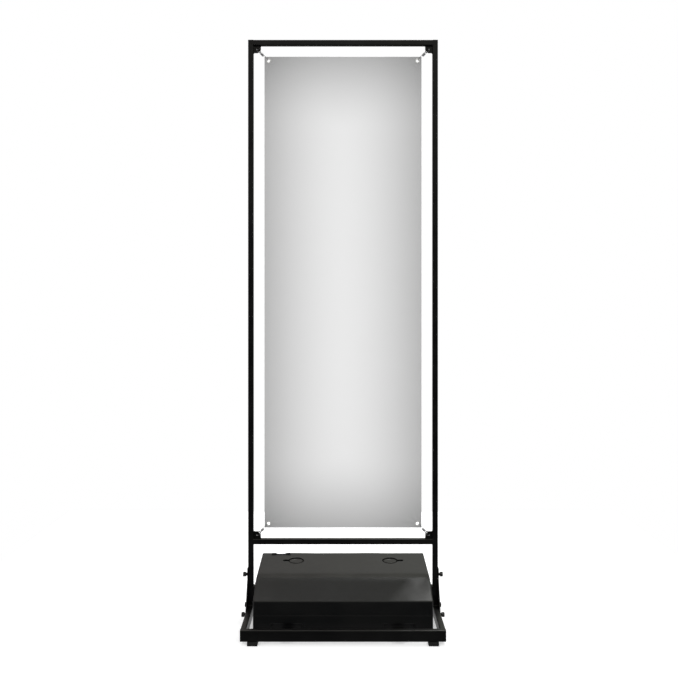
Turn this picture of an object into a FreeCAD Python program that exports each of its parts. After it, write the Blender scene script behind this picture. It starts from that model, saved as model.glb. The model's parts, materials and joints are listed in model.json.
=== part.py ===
import FreeCAD, Part

import math
import os

from FreeCAD import Vector

# Banner stand for one tall banner. A welded square-tube frame holds the banner by four springs.
# The frame stands in two sockets on a low base of rectangular tube, and is held by hand knobs.
# A fillable plastic tank lies in the base as ballast, and four screw feet level the stand.
# All sizes are in millimetres. +X is the viewer's right, -Y is the front and +Z is up.
# The origin is on the floor, under the middle of the stand.

# Banner and the even gap between its edges and the frame
BANNER_WIDTH = 600.0
BANNER_HEIGHT = 1800.0
BANNER_THICKNESS = 0.6
BANNER_GAP = 42.0

# Frame tube
TUBE = 20.0
TUBE_WALL = 1.5
TUBE_ROUND = 2.0
CROSS_BAR_BOTTOM = 283.0

# Base of rectangular tube
BASE_DEPTH = 500.0
RAIL_WIDTH = 20.0
RAIL_HEIGHT = 40.0
RAIL_WALL = 1.6
RAIL_ROUND = 2.5

# Plastic plugs that close the tube ends, with heads flush with the tube
PLUG_HEAD = 2.0
PLUG_REACH = 14.0
PLUG_WALL = 2.0

# Clearances: a loose fit, a close fit, the play round a stud, and between a cap and its neck
SOCKET_GAP = 0.3
FIT_GAP = 0.1
RUNNING_GAP = 0.15
NECK_GAP = 0.3

# Overrun of every cutting shape past the face that it opens
OVERRUN = 5.0

# Sockets that the posts stand in, and gusset plates outside them
SOCKET_HEIGHT = 72.0
SOCKET_WALL = 3.0
GUSSET_PLATE = 3.0
GUSSET_DROP = 2.0
GUSSET_FOOT_HALF = 66.0
GUSSET_NECK_MARGIN = 2.0
GUSSET_FLARE_START = 38.0
GUSSET_NECK_START = 138.0
GUSSET_HEIGHT = 180.0
GUSSET_CORNER = 5.0

# Hand knobs with M8 studs, and the threaded inserts that they enter
KNOB_STUD = 8.0
KNOB_STUD_GRIP = 8.0
KNOB_STUD_CHAMFER = 1.0
KNOB_HEAD = 18.0
KNOB_HEAD_LENGTH = 11.0
KNOB_HEAD_ROUND = 1.5
KNOB_COLLAR = 11.0
KNOB_COLLAR_LENGTH = 5.5
KNOB_FLUTE = 3.0
KNOB_FLUTES = 8
INSERT_BODY = 11.0
INSERT_BULGE = 13.5
INSERT_BULGE_LENGTH = 4.0
INSERT_LENGTH = 15.0
UPPER_KNOB_DROP = 25.0
LOWER_KNOB_INSET = 16.0

# Screw feet
FOOT_INSET = 44.0
FOOT_TRAVEL = 12.0
PAD = 37.0
PAD_HEIGHT = 12.0
PAD_CORNER = 4.0
PAD_ROUND = 1.0
PAD_SOLE_THICKNESS = 3.0
PAD_GROOVE = 3.0
PAD_GROOVE_SPACING = 7.4
PAD_SIDE_GROOVES = 4
FOOT_STUD = 10.0
FOOT_NUT_ROOM = 0.4
FOOT_NUT_HEIGHT = 8.0

# Folded corner brackets that the springs hook into
BRACKET_LEG = 28.0
BRACKET_SHEET = 2.0
BRACKET_CHAMFER = 12.0
BRACKET_HOLE = 7.0
BRACKET_HOLE_INSET = 14.0
BRACKET_SCREW_INSET = 19.5
CORNER_SCREW = 4.0
CORNER_SCREW_HEAD_HEIGHT = 2.2
CORNER_SCREW_LENGTH = 12.0
CORNER_SCREW_DRIVE = 2.5
CORNER_SCREW_DRIVE_DEPTH = 1.2
CORNER_INSERT_BODY = 6.0
CORNER_INSERT_BULGE_LENGTH = 2.5
CORNER_INSERT_LENGTH = 9.0

# Metal eyelets in the banner's corners
EYELET_INSET = 15.5
EYELET_HOLE = 12.0
EYELET_BARREL_WALL = 0.8
EYELET_FLANGE = 20.0
EYELET_FLANGE_THICKNESS = 0.8

# Hook rings and tension springs between the brackets and the eyelets
RING_WIRE = 2.0
RING_RADIUS = 7.75
RING_OFFSET = 1.4
SPRING_WIRE = 1.4
SPRING_RADIUS = 4.0
SPRING_PITCH = 2.0
SPRING_HOOK_GAP = 0.25
SPRING_EYELET_OFFSET = 4.3
SPRING_LEAD = 3.8
SPRING_TIP = 1.0
SPRING_LONG_TIP = 4.5
SPRING_CORNER_GAP = 1.5
SPRING_TILT = math.radians(45)

# Flat bars that carry the tank
SUPPORT_WIDTH = 40.0
SUPPORT_THICKNESS = 4.0
SUPPORT_RISE = 4.0
SUPPORT_PLACE = 200.0

# Ballast tank: gaps to its neighbours, heights above its floor, and shell
TANK_SIDE_GAP = 13.7
TANK_END_GAP = 54.0
TANK_FRONT_HEIGHT = 107.5
TANK_FOLD_HEIGHT = 157.0
TANK_REAR_HEIGHT = 175.5
TANK_FOLD_INSET = 109.0
TANK_WALL = 4.0
TANK_ROUND = 6.0
GRIP_PLACE = 203.0
GRIP_WIDTH = 112.0
GRIP_HEIGHT = 26.0
GRIP_DEPTH = 14.0
SCOOP_PLACE = 249.5
SCOOP_WIDTH = 73.0
SCOOP_LENGTH = 33.0
SCOOP_DEPTH = 7.0
SCOOP_ROUND = 5.0

# Filler necks, screw caps and seals
CAP_PLACE = 185.0
CAP_INSET = 80.0
CAP = 53.0
CAP_HEIGHT = 10.0
CAP_TOP = 3.0
CAP_WALL = 4.0
CAP_ROUND = 1.2
CAP_RIB = 2.0
CAP_RIBS = 30
CAP_RISE = 0.6
NECK_WALL = 4.0
SEAL_THICKNESS = 1.5
SEAL_INSET = 1.0
WELL_GAP = 3.5
NOTCH_REACH = 52.0
NOTCH_WIDTH = 17.0
NOTCH_DEPTH = 8.0
NOTCH_ROUND = 7.0

# Places worked out from the sizes above
FRAME_INNER = BANNER_WIDTH / 2 + BANNER_GAP
FRAME_OUTER = FRAME_INNER + TUBE
CROSS_BAR_TOP = CROSS_BAR_BOTTOM + TUBE
BANNER_BOTTOM = CROSS_BAR_TOP + BANNER_GAP
BANNER_TOP = BANNER_BOTTOM + BANNER_HEIGHT
TOP_BAR_BOTTOM = BANNER_TOP + BANNER_GAP
FRAME_TOP = TOP_BAR_BOTTOM + TUBE
RAIL_BOTTOM = PAD_HEIGHT
RAIL_TOP = RAIL_BOTTOM + RAIL_HEIGHT
RAIL_MIDDLE = RAIL_BOTTOM + RAIL_HEIGHT / 2
RAIL_FRONT = BASE_DEPTH / 2
RAIL_INNER = RAIL_FRONT - RAIL_WIDTH
FOOT_X = FRAME_OUTER - FOOT_INSET
FOOT_Y = RAIL_FRONT - RAIL_WIDTH / 2
FOOT_NUT_FLATS = RAIL_WIDTH - 2 * RAIL_WALL - 2 * FOOT_NUT_ROOM
GUSSET_BOTTOM = RAIL_BOTTOM + GUSSET_DROP
UPPER_KNOB_Z = RAIL_BOTTOM + GUSSET_HEIGHT - UPPER_KNOB_DROP
LOWER_KNOB_Y = GUSSET_FOOT_HALF - LOWER_KNOB_INSET
SUPPORT_TOP = RAIL_BOTTOM + SUPPORT_RISE + SUPPORT_THICKNESS
SOCKET_FACE = FRAME_INNER - SOCKET_GAP - SOCKET_WALL
TANK_HALF_WIDTH = SOCKET_FACE - TANK_SIDE_GAP
TANK_HALF_DEPTH = RAIL_INNER - TANK_END_GAP
TANK_FOLD_Y = TANK_FOLD_INSET - TANK_HALF_DEPTH
TANK_SLOPE = (TANK_REAR_HEIGHT - TANK_FOLD_HEIGHT) / (TANK_HALF_DEPTH - TANK_FOLD_Y)
CAP_Y = TANK_HALF_DEPTH - CAP_INSET
TUBE_FLAT_HALF = TUBE / 2 - TUBE_ROUND
CORNER_SCREW_ROOM = TUBE_FLAT_HALF - BRACKET_SHEET / 2
CORNER_SCREW_HEAD = CORNER_SCREW_ROOM - 2 * FIT_GAP
CORNER_INSERT_BULGE = CORNER_SCREW_ROOM - 2 * FIT_GAP
BRACKET_SCREW_Y = BRACKET_SHEET / 2 + CORNER_SCREW_ROOM / 2

SIDES = {"left": -1, "right": 1}
ENDS = {"front": -1, "rear": 1}
CORNERS = {"top_left": (-1, 1), "top_right": (1, 1), "bottom_left": (-1, -1), "bottom_right": (1, -1)}

X_AXIS = Vector(1, 0, 0)
Y_AXIS = Vector(0, 1, 0)
Z_AXIS = Vector(0, 0, 1)


def block(x_range, y_range, z_range):
    """A box between two values on each axis, given in either order."""
    low = Vector(min(x_range), min(y_range), min(z_range))
    high = Vector(max(x_range), max(y_range), max(z_range))
    size = high - low
    return Part.makeBox(size.x, size.y, size.z, low)


def rod(diameter, start, end):
    """A round bar from one point to another."""
    along = end - start
    return Part.makeCylinder(diameter / 2, along.Length, start, along)


def pipe_piece(outer, inner, start, end):
    """A round tube from one point to another."""
    reach = (end - start).normalize() * OVERRUN
    return rod(outer, start, end).cut(rod(inner, start - reach, end + reach))


def group(solids):
    """Several separate solids that share one node."""
    return Part.makeCompound(solids)


def mirrored(shape):
    """The shape and its mirror image across the middle plane."""
    return [shape, shape.mirror(Vector(), X_AXIS)]


def edges_along(shape, axis):
    """The straight edges that run along an axis."""
    found = []
    for edge in shape.Edges:
        if isinstance(edge.Curve, Part.Line) and abs(edge.Curve.Direction.dot(axis)) > 0.999:
            found.append(edge)
    return found


def rounded_bar(x_range, y_range, z_range, axis, radius):
    """A box whose edges along one axis are rounded."""
    bar = block(x_range, y_range, z_range)
    return bar.makeFillet(radius, edges_along(bar, axis))


def prism(points, depth):
    """A flat outline through the points, drawn out by a vector."""
    return Part.Face(Part.makePolygon(points + points[:1])).extrude(depth)


def bracket_place(corner, across, down, depth):
    """A point given by its distances from the post, from the bar, and in depth."""
    side, level = CORNERS[corner]
    bar_face = TOP_BAR_BOTTOM if level > 0 else CROSS_BAR_TOP
    return Vector(side * (FRAME_INNER - across), depth, bar_face - level * down)


def corner_fasteners(corner):
    """Each corner screw's place on its tube and its way into the tube."""
    side, level = CORNERS[corner]
    on_post = bracket_place(corner, 0, BRACKET_SCREW_INSET, BRACKET_SCREW_Y)
    on_bar = bracket_place(corner, BRACKET_SCREW_INSET, 0, BRACKET_SCREW_Y)
    return [(on_post, X_AXIS * side), (on_bar, Z_AXIS * level)]


def knob_places(side):
    """Each knob's place on the gusset's outer face, by its name."""
    face = side * (FRAME_OUTER + GUSSET_PLATE)
    places = {"top": Vector(face, 0, UPPER_KNOB_Z)}
    for end, direction in ENDS.items():
        places[end] = Vector(face, direction * LOWER_KNOB_Y, RAIL_MIDDLE)
    return places


def make_post(side):
    """Upright tube, with holes for the knob's insert and for the corner inserts."""
    inner = side * FRAME_INNER
    outer = side * FRAME_OUTER
    bottom = RAIL_TOP + PLUG_HEAD
    top = FRAME_TOP - PLUG_HEAD
    half = TUBE / 2
    post = rounded_bar((inner, outer), (-half, half), (bottom, top), Z_AXIS, TUBE_ROUND)
    hollow = block((inner + side * TUBE_WALL, outer - side * TUBE_WALL),
                   (-half + TUBE_WALL, half - TUBE_WALL), (bottom - OVERRUN, top + OVERRUN))
    post = post.cut(hollow)
    for corner, (corner_side, level) in CORNERS.items():
        if corner_side == side:
            place, inward = corner_fasteners(corner)[0]
            post = post.cut(wall_hole(CORNER_INSERT_BODY, place, inward))
    knob = knob_places(side)["top"]
    on_tube = Vector(outer, knob.y, knob.z)
    return post.cut(wall_hole(INSERT_BODY, on_tube, X_AXIS * -side))


def wall_hole(insert_body, place, inward):
    """The hole for an insert in the one wall of a tube that it enters."""
    return rod(insert_body + 2 * FIT_GAP, place - inward * OVERRUN, place + inward * OVERRUN)


def make_bar(level):
    """Level tube between the posts, with holes for the corner inserts."""
    bottom = TOP_BAR_BOTTOM if level > 0 else CROSS_BAR_BOTTOM
    half = TUBE / 2
    span = (-FRAME_INNER, FRAME_INNER)
    bar = rounded_bar(span, (-half, half), (bottom, bottom + TUBE), X_AXIS, TUBE_ROUND)
    reach = FRAME_INNER + OVERRUN
    hollow = block((-reach, reach), (-half + TUBE_WALL, half - TUBE_WALL),
                   (bottom + TUBE_WALL, bottom + TUBE - TUBE_WALL))
    bar = bar.cut(hollow)
    for corner, (side, corner_level) in CORNERS.items():
        if corner_level == level:
            place, inward = corner_fasteners(corner)[1]
            bar = bar.cut(wall_hole(CORNER_INSERT_BODY, place, inward))
    return bar


def post_plug(side, top):
    """Plastic plug in a post's end: a flush head and a hollow body inside the tube."""
    middle = side * (FRAME_INNER + TUBE / 2)
    inside = TUBE / 2 - TUBE_WALL - FIT_GAP
    hollow = inside - PLUG_WALL
    face = FRAME_TOP if top else RAIL_TOP
    inward = -1 if top else 1
    seat = face + inward * PLUG_HEAD
    half = TUBE / 2
    across = (middle - half, middle + half)
    head = rounded_bar(across, (-half, half), (face, seat), Z_AXIS, TUBE_ROUND)
    across = (middle - inside, middle + inside)
    body = block(across, (-inside, inside), (seat, seat + inward * PLUG_REACH))
    bore = block((middle - hollow, middle + hollow), (-hollow, hollow),
                 (seat, seat + inward * (PLUG_REACH + OVERRUN)))
    return head.fuse(body.cut(bore)).removeSplitter()


def make_bracket(corner):
    """Folded sheet bracket: a web with the hook hole and two flanges on the tubes."""
    front = -BRACKET_SHEET / 2
    rear = BRACKET_SHEET / 2
    short = BRACKET_LEG - BRACKET_CHAMFER
    outline = [(0, 0), (BRACKET_LEG, 0), (BRACKET_LEG, short), (short, BRACKET_LEG), (0, BRACKET_LEG)]
    points = [bracket_place(corner, across, down, front) for across, down in outline]
    web = prism(points, Vector(0, BRACKET_SHEET, 0))
    start = bracket_place(corner, 0, 0, front)
    on_post = bracket_place(corner, BRACKET_SHEET, BRACKET_LEG, TUBE_FLAT_HALF)
    on_bar = bracket_place(corner, BRACKET_LEG, BRACKET_SHEET, TUBE_FLAT_HALF)
    flanges = []
    for end in (on_post, on_bar):
        flanges.append(block((start.x, end.x), (start.y, end.y), (start.z, end.z)))
    bracket = web.fuse(flanges).removeSplitter()
    hole = bracket_place(corner, BRACKET_HOLE_INSET, BRACKET_HOLE_INSET, 0)
    reach = Y_AXIS * (rear + OVERRUN)
    bracket = bracket.cut(rod(BRACKET_HOLE, hole - reach, hole + reach))
    for place, inward in corner_fasteners(corner):
        hole = rod(CORNER_SCREW + 2 * FIT_GAP, place - inward * OVERRUN, place)
        bracket = bracket.cut(hole)
    return bracket


def corner_screw(place, inward):
    """Button-head screw through a bracket's flange, with its drive socket."""
    under_head = place - inward * BRACKET_SHEET
    head_top = under_head - inward * CORNER_SCREW_HEAD_HEIGHT
    head = rod(CORNER_SCREW_HEAD, under_head, head_top)
    head = head.makeFillet(CORNER_SCREW_HEAD_HEIGHT / 2, rim_edges(head, head_top, CORNER_SCREW_HEAD))
    drive = rod(CORNER_SCREW_DRIVE, head_top, head_top + inward * CORNER_SCREW_DRIVE_DEPTH)
    shank = rod(CORNER_SCREW, under_head, under_head + inward * CORNER_SCREW_LENGTH)
    return head.cut(drive).fuse(shank).removeSplitter()


def insert(body, bulge, bulge_length, length, bore, wall, place, inward):
    """Threaded insert set flush in a tube's wall, with its bulge closed behind the wall."""
    behind = place + inward * wall
    shape = rod(body, place, place + inward * length)
    shape = shape.fuse(rod(bulge, behind, behind + inward * bulge_length))
    reach = inward * (length + OVERRUN)
    return shape.cut(rod(bore, place - inward * OVERRUN, place + reach)).removeSplitter()


def corner_insert(place, inward):
    """The insert of one corner screw."""
    bore = CORNER_SCREW + 2 * FIT_GAP
    return insert(CORNER_INSERT_BODY, CORNER_INSERT_BULGE, CORNER_INSERT_BULGE_LENGTH,
                  CORNER_INSERT_LENGTH, bore, TUBE_WALL, place, inward)


def knob_insert(side, name, wall):
    """The insert of one knob, in a post or in a side rail."""
    knob = knob_places(side)[name]
    place = Vector(side * FRAME_OUTER, knob.y, knob.z)
    bore = KNOB_STUD + 2 * RUNNING_GAP
    return insert(INSERT_BODY, INSERT_BULGE, INSERT_BULGE_LENGTH, INSERT_LENGTH, bore, wall,
                  place, X_AXIS * -side)


def make_banner():
    """The banner as one thin sheet with a hole for each eyelet."""
    half = BANNER_WIDTH / 2
    thick = BANNER_THICKNESS / 2
    banner = block((-half, half), (-thick, thick), (BANNER_BOTTOM, BANNER_TOP))
    hole = EYELET_HOLE + 2 * EYELET_BARREL_WALL + 2 * FIT_GAP
    for corner in CORNERS:
        place = eyelet_place(corner)
        banner = banner.cut(rod(hole, place - Y_AXIS * OVERRUN, place + Y_AXIS * OVERRUN))
    return banner


def eyelet_place(corner):
    """The middle of an eyelet."""
    side, level = CORNERS[corner]
    edge = BANNER_TOP if level > 0 else BANNER_BOTTOM
    return Vector(side * (BANNER_WIDTH / 2 - EYELET_INSET), 0, edge - level * EYELET_INSET)


def eyelet(corner):
    """Two-part metal eyelet: a barrel through the banner and a flange on each face."""
    place = eyelet_place(corner)
    inside = BANNER_THICKNESS / 2 + FIT_GAP
    outside = inside + EYELET_FLANGE_THICKNESS
    barrel = EYELET_HOLE + 2 * EYELET_BARREL_WALL
    shape = rod(barrel, place - Y_AXIS * outside, place + Y_AXIS * outside)
    for direction in (-1, 1):
        near = place + Y_AXIS * direction * inside
        far = place + Y_AXIS * direction * outside
        shape = shape.fuse(rod(EYELET_FLANGE, near, far))
    bore = rod(EYELET_HOLE, place - Y_AXIS * OVERRUN, place + Y_AXIS * OVERRUN)
    return shape.cut(bore).removeSplitter()


def spring_frame(corner):
    """Start at the bracket's hole, the way to the eyelet, and the side that the hooks turn to."""
    start = bracket_place(corner, BRACKET_HOLE_INSET, BRACKET_HOLE_INSET, 0)
    end = eyelet_place(corner)
    along = (end - start).normalize()
    upward = along.cross(Y_AXIS)
    if upward.z < 0:
        upward = -upward
    hook_side = Y_AXIS * -math.cos(SPRING_TILT) + upward * math.sin(SPRING_TILT)
    return start, along, hook_side, (end - start).Length


def hook_ring(corner):
    """Closed wire ring that hangs in the bracket's hole and carries the spring's hook."""
    start, along, hook_side, distance = spring_frame(corner)
    middle = start + along * (RING_OFFSET + RING_RADIUS)
    return Part.makeTorus(RING_RADIUS, RING_WIRE / 2, middle, hook_side)


def arc_edge(start, tangent, end, reach):
    """The arc from start to end that leaves along the tangent, whose tangents meet at reach."""
    chord_middle = (start + end) / 2
    meeting = start + tangent * reach
    angle = math.acos(min(1.0, (end - start).Length / 2 / reach))
    bulge = math.tan(angle / 2) / math.tan(angle)
    return Part.Arc(start, chord_middle + (meeting - chord_middle) * bulge, end).toShape()


def biarc(start, start_tangent, end, end_tangent):
    """Two tangent arcs that join two points along two given directions."""
    chord = end - start
    both = start_tangent + end_tangent
    spread = 2 * (1 - start_tangent.dot(end_tangent))
    lean = chord.dot(both)
    reach = (math.sqrt(lean * lean + spread * chord.dot(chord)) - lean) / spread
    joint = (start + end + (start_tangent - end_tangent) * reach) / 2
    first = arc_edge(start, start_tangent, joint, reach)
    joint_tangent = (end - end_tangent * reach - joint).normalize()
    second = arc_edge(joint, joint_tangent, end, reach)
    return [first, second]


def spring_path(distance):
    """The spring's stations along its axis, as (place, direction) pairs, and its turns."""
    ring_far = RING_OFFSET + 2 * RING_RADIUS
    first_apex = ring_far - RING_WIRE / 2 - SPRING_WIRE / 2 - SPRING_HOOK_GAP
    first_bend = first_apex + SPRING_RADIUS
    last_bend = distance - SPRING_EYELET_OFFSET - SPRING_RADIUS
    coil_start = first_bend + SPRING_TIP
    banner_corner = distance - EYELET_INSET * math.sqrt(2)
    coil_room = banner_corner - SPRING_CORNER_GAP - coil_start - SPRING_LEAD
    turns = int(coil_room / SPRING_PITCH)
    r = SPRING_RADIUS
    rise = Vector(SPRING_PITCH / (2 * math.pi), 0, 0)
    path = [(Vector(first_bend + SPRING_TIP, r, 0), -X_AXIS), (Vector(first_bend, r, 0), -X_AXIS),
            (Vector(first_bend, -r, 0), X_AXIS), (Vector(coil_start, -r, 0), X_AXIS)]
    base = coil_start + SPRING_LEAD / 2
    for quarter in range(1, 4 * turns):
        angle = math.pi + quarter * math.pi / 2
        out = Vector(0, math.cos(angle), math.sin(angle))
        turning = Vector(0, -math.sin(angle), math.cos(angle))
        place = out * r + X_AXIS * (base + quarter * SPRING_PITCH / 4)
        path.append((place, (turning * r + rise).normalize()))
    coil_end = base + turns * SPRING_PITCH + SPRING_LEAD / 2
    path += [(Vector(coil_end, -r, 0), X_AXIS), (Vector(last_bend, -r, 0), X_AXIS),
             (Vector(last_bend, r, 0), -X_AXIS), (Vector(last_bend - SPRING_LONG_TIP, r, 0), -X_AXIS)]
    return path, turns


def least_gap_to_itself(wire):
    """The smallest distance between parts of the path that are not neighbours, less the wire."""
    count = int(wire.Length / (SPRING_WIRE / 4))
    points = wire.discretize(Number=count)
    step = wire.Length / (count - 1)
    apart = int(math.pi * SPRING_RADIUS / step)
    least = wire.Length
    for first in range(count):
        for second in range(first + apart, count):
            least = min(least, (points[first] - points[second]).Length)
    return least - SPRING_WIRE


def make_spring(corner):
    """Tension spring in one unbroken wire: hook, coil and hook."""
    start, along, hook_side, distance = spring_frame(corner)
    third = along.cross(hook_side)

    def placed(local):
        return along * local.x - hook_side * local.y - third * local.z

    path, turns = spring_path(distance)
    edges = []
    for (here, heading), (there, next_heading) in zip(path, path[1:]):
        begin = start + placed(here)
        end = start + placed(there)
        straight = (there - here).cross(heading).Length < FIT_GAP / 1000
        if straight:
            edges.append(Part.LineSegment(begin, end).toShape())
        else:
            edges += biarc(begin, placed(heading), end, placed(next_heading))
    wire = Part.Wire(edges)
    if corner == "top_left":
        print("spring:", turns, "turns, least gap to itself", round(least_gap_to_itself(wire), 3), "mm")
    tip = start + placed(path[0][0])
    circle = Part.makeCircle(SPRING_WIRE / 2, tip, placed(path[0][1]))
    return wire.makePipeShell([Part.Wire(circle)], True, False)


def make_end_rail(end):
    """Front or rear rail of the base, over the full width, with holes for the foot studs."""
    near = ENDS[end] * RAIL_INNER
    far = ENDS[end] * RAIL_FRONT
    reach = FRAME_OUTER - PLUG_HEAD
    rail = rounded_bar((-reach, reach), (near, far), (RAIL_BOTTOM, RAIL_TOP), X_AXIS, RAIL_ROUND)
    inside = (near + ENDS[end] * RAIL_WALL, far - ENDS[end] * RAIL_WALL)
    hollow = block((-FRAME_OUTER, FRAME_OUTER), inside, (RAIL_BOTTOM + RAIL_WALL, RAIL_TOP - RAIL_WALL))
    rail = rail.cut(hollow)
    for side in SIDES.values():
        place = Vector(side * FOOT_X, ENDS[end] * FOOT_Y, RAIL_BOTTOM)
        hole = FOOT_STUD + 2 * SOCKET_GAP
        rail = rail.cut(rod(hole, place - Z_AXIS * OVERRUN, place + Z_AXIS * OVERRUN))
    return rail


def make_side_rail(side):
    """Side rail between the end rails, with holes for the lower knobs' inserts."""
    inner = side * (FRAME_OUTER - RAIL_WIDTH)
    outer = side * FRAME_OUTER
    span = (-RAIL_INNER, RAIL_INNER)
    rail = rounded_bar((inner, outer), span, (RAIL_BOTTOM, RAIL_TOP), Y_AXIS, RAIL_ROUND)
    reach = RAIL_INNER + OVERRUN
    hollow = block((inner + side * RAIL_WALL, outer - side * RAIL_WALL), (-reach, reach),
                   (RAIL_BOTTOM + RAIL_WALL, RAIL_TOP - RAIL_WALL))
    rail = rail.cut(hollow)
    for end in ENDS:
        knob = knob_places(side)[end]
        place = Vector(outer, knob.y, knob.z)
        rail = rail.cut(wall_hole(INSERT_BODY, place, X_AXIS * -side))
    return rail


def rail_plug(side, end):
    """Plastic plug in the end of a front or rear rail."""
    middle_y = ENDS[end] * FOOT_Y
    seat = side * (FRAME_OUTER - PLUG_HEAD)
    tip = seat - side * PLUG_REACH
    half_y = RAIL_WIDTH / 2
    inside_y = half_y - RAIL_WALL - FIT_GAP
    inside_z = RAIL_HEIGHT / 2 - RAIL_WALL - FIT_GAP
    hollow_y = inside_y - PLUG_WALL
    hollow_z = inside_z - PLUG_WALL
    across = (middle_y - half_y, middle_y + half_y)
    head = rounded_bar((side * FRAME_OUTER, seat), across, (RAIL_BOTTOM, RAIL_TOP), X_AXIS, RAIL_ROUND)
    body = block((seat, tip), (middle_y - inside_y, middle_y + inside_y),
                 (RAIL_MIDDLE - inside_z, RAIL_MIDDLE + inside_z))
    bore = block((seat, tip - side * OVERRUN), (middle_y - hollow_y, middle_y + hollow_y),
                 (RAIL_MIDDLE - hollow_z, RAIL_MIDDLE + hollow_z))
    return head.fuse(body.cut(bore)).removeSplitter()


def make_support(side):
    """Flat bar from the front rail to the rear rail, which the tank rests on."""
    middle = side * SUPPORT_PLACE
    half = SUPPORT_WIDTH / 2
    return block((middle - half, middle + half), (-RAIL_INNER, RAIL_INNER),
                 (SUPPORT_TOP - SUPPORT_THICKNESS, SUPPORT_TOP))


def make_socket(side):
    """U-shaped channel on the side rail, closed on the outside by the gusset plate."""
    face = side * SOCKET_FACE
    plate = side * FRAME_OUTER
    room = TUBE / 2 + SOCKET_GAP
    outside = room + SOCKET_WALL
    levels = (RAIL_TOP, RAIL_TOP + SOCKET_HEIGHT)
    channel = block((face, plate), (-outside, outside), levels)
    levels = (RAIL_TOP - OVERRUN, RAIL_TOP + SOCKET_HEIGHT + OVERRUN)
    return channel.cut(block((face + side * SOCKET_WALL, plate + side * OVERRUN), (-room, room), levels))


def make_gusset(side):
    """Plate on the side rail's outer face that narrows up the post, with three knob holes."""
    inner = side * FRAME_OUTER
    neck = TUBE / 2 + GUSSET_NECK_MARGIN
    foot = GUSSET_FOOT_HALF
    outline = [(foot, GUSSET_BOTTOM), (foot, RAIL_BOTTOM + GUSSET_FLARE_START),
               (neck, RAIL_BOTTOM + GUSSET_NECK_START), (neck, RAIL_BOTTOM + GUSSET_HEIGHT)]
    outline += [(-y, z) for y, z in reversed(outline)]
    plate = prism([Vector(inner, y, z) for y, z in outline], Vector(side * GUSSET_PLATE, 0, 0))
    plate = plate.makeFillet(GUSSET_CORNER, edges_along(plate, X_AXIS))
    hole = KNOB_STUD + 2 * SOCKET_GAP
    for place in knob_places(side).values():
        plate = plate.cut(rod(hole, place - X_AXIS * OVERRUN, place + X_AXIS * OVERRUN))
    return plate


def flutes(count, diameter, radius, start, end):
    """Round cuts spaced evenly on a circle about the line from start to end."""
    along = (end - start).normalize()
    across = along.cross(Y_AXIS)
    if across.Length < 0.5:
        across = along.cross(X_AXIS)
    cuts = []
    for number in range(count):
        turned = FreeCAD.Rotation(along, 360 * number / count).multVec(across.normalize())
        shift = turned * radius
        cuts.append(rod(diameter, start + shift - along * OVERRUN, end + shift + along * OVERRUN))
    return cuts


def rim_edges(shape, place, diameter):
    """The round edges of a given diameter centred on a place."""
    found = []
    for edge in shape.Edges:
        curve = edge.Curve
        if isinstance(curve, Part.Circle) and abs(2 * curve.Radius - diameter) < FIT_GAP:
            if (curve.Center - place).Length < FIT_GAP:
                found.append(edge)
    return found


def make_knob(place, outward):
    """Moulded knob: a fluted head on a narrow collar, with a blind bore for its stud."""
    head_start = place + outward * KNOB_COLLAR_LENGTH
    head_end = head_start + outward * KNOB_HEAD_LENGTH
    head = rod(KNOB_HEAD, head_start, head_end)
    head = head.makeFillet(KNOB_HEAD_ROUND, rim_edges(head, head_end, KNOB_HEAD))
    head = head.cut(flutes(KNOB_FLUTES, KNOB_FLUTE, KNOB_HEAD / 2, head_start, head_end))
    knob = head.fuse(rod(KNOB_COLLAR, place, head_start)).removeSplitter()
    bore_end = place + outward * (KNOB_COLLAR_LENGTH + KNOB_STUD_GRIP + RUNNING_GAP)
    return knob.cut(rod(KNOB_STUD + 2 * RUNNING_GAP, place - outward * OVERRUN, bore_end))


def make_knob_stud(place, outward):
    """Steel stud from inside the knob, through the gusset and into the insert."""
    inner_end = place - outward * (GUSSET_PLATE + INSERT_LENGTH)
    outer_end = place + outward * (KNOB_COLLAR_LENGTH + KNOB_STUD_GRIP)
    stud = rod(KNOB_STUD, inner_end, outer_end)
    return stud.makeChamfer(KNOB_STUD_CHAMFER, rim_edges(stud, inner_end, KNOB_STUD))


def foot_place(side, end):
    """The point on the floor under the middle of a foot."""
    return Vector(side * FOOT_X, ENDS[end] * FOOT_Y, 0)


def pad_grooves(floor, top):
    """Upright grooves spaced evenly along the four sides of a foot pad."""
    cuts = []
    for number in range(PAD_SIDE_GROOVES):
        shift = PAD_GROOVE_SPACING * (number - (PAD_SIDE_GROOVES - 1) / 2)
        for quarter in range(4):
            place = FreeCAD.Rotation(Z_AXIS, 90 * quarter).multVec(Vector(PAD / 2, shift, 0))
            cuts.append(rod(PAD_GROOVE, floor + place - Z_AXIS * OVERRUN, top + place + Z_AXIS * OVERRUN))
    return cuts


def make_pad(side, end):
    """Square grooved foot pad with a blind bore for its stud."""
    floor = foot_place(side, end)
    top = floor + Z_AXIS * PAD_HEIGHT
    half = PAD / 2
    pad = rounded_bar((floor.x - half, floor.x + half), (floor.y - half, floor.y + half),
                      (floor.z, top.z), Z_AXIS, PAD_CORNER)
    rims = [edge for edge in pad.Edges if abs(edge.CenterOfMass.z - (floor.z + top.z) / 2) > PAD_HEIGHT / 4]
    pad = pad.makeFillet(PAD_ROUND, rims).cut(pad_grooves(floor, top))
    sole = floor + Z_AXIS * (PAD_SOLE_THICKNESS - RUNNING_GAP)
    return pad.cut(rod(FOOT_STUD + 2 * RUNNING_GAP, sole, top + Z_AXIS * OVERRUN))


def make_foot_stud(side, end):
    """Steel stud from inside the pad up through the weld nut."""
    floor = foot_place(side, end)
    bottom = floor + Z_AXIS * PAD_SOLE_THICKNESS
    top = floor + Z_AXIS * (RAIL_BOTTOM + RAIL_WALL + FOOT_NUT_HEIGHT + FOOT_TRAVEL)
    return rod(FOOT_STUD, bottom, top)


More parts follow.
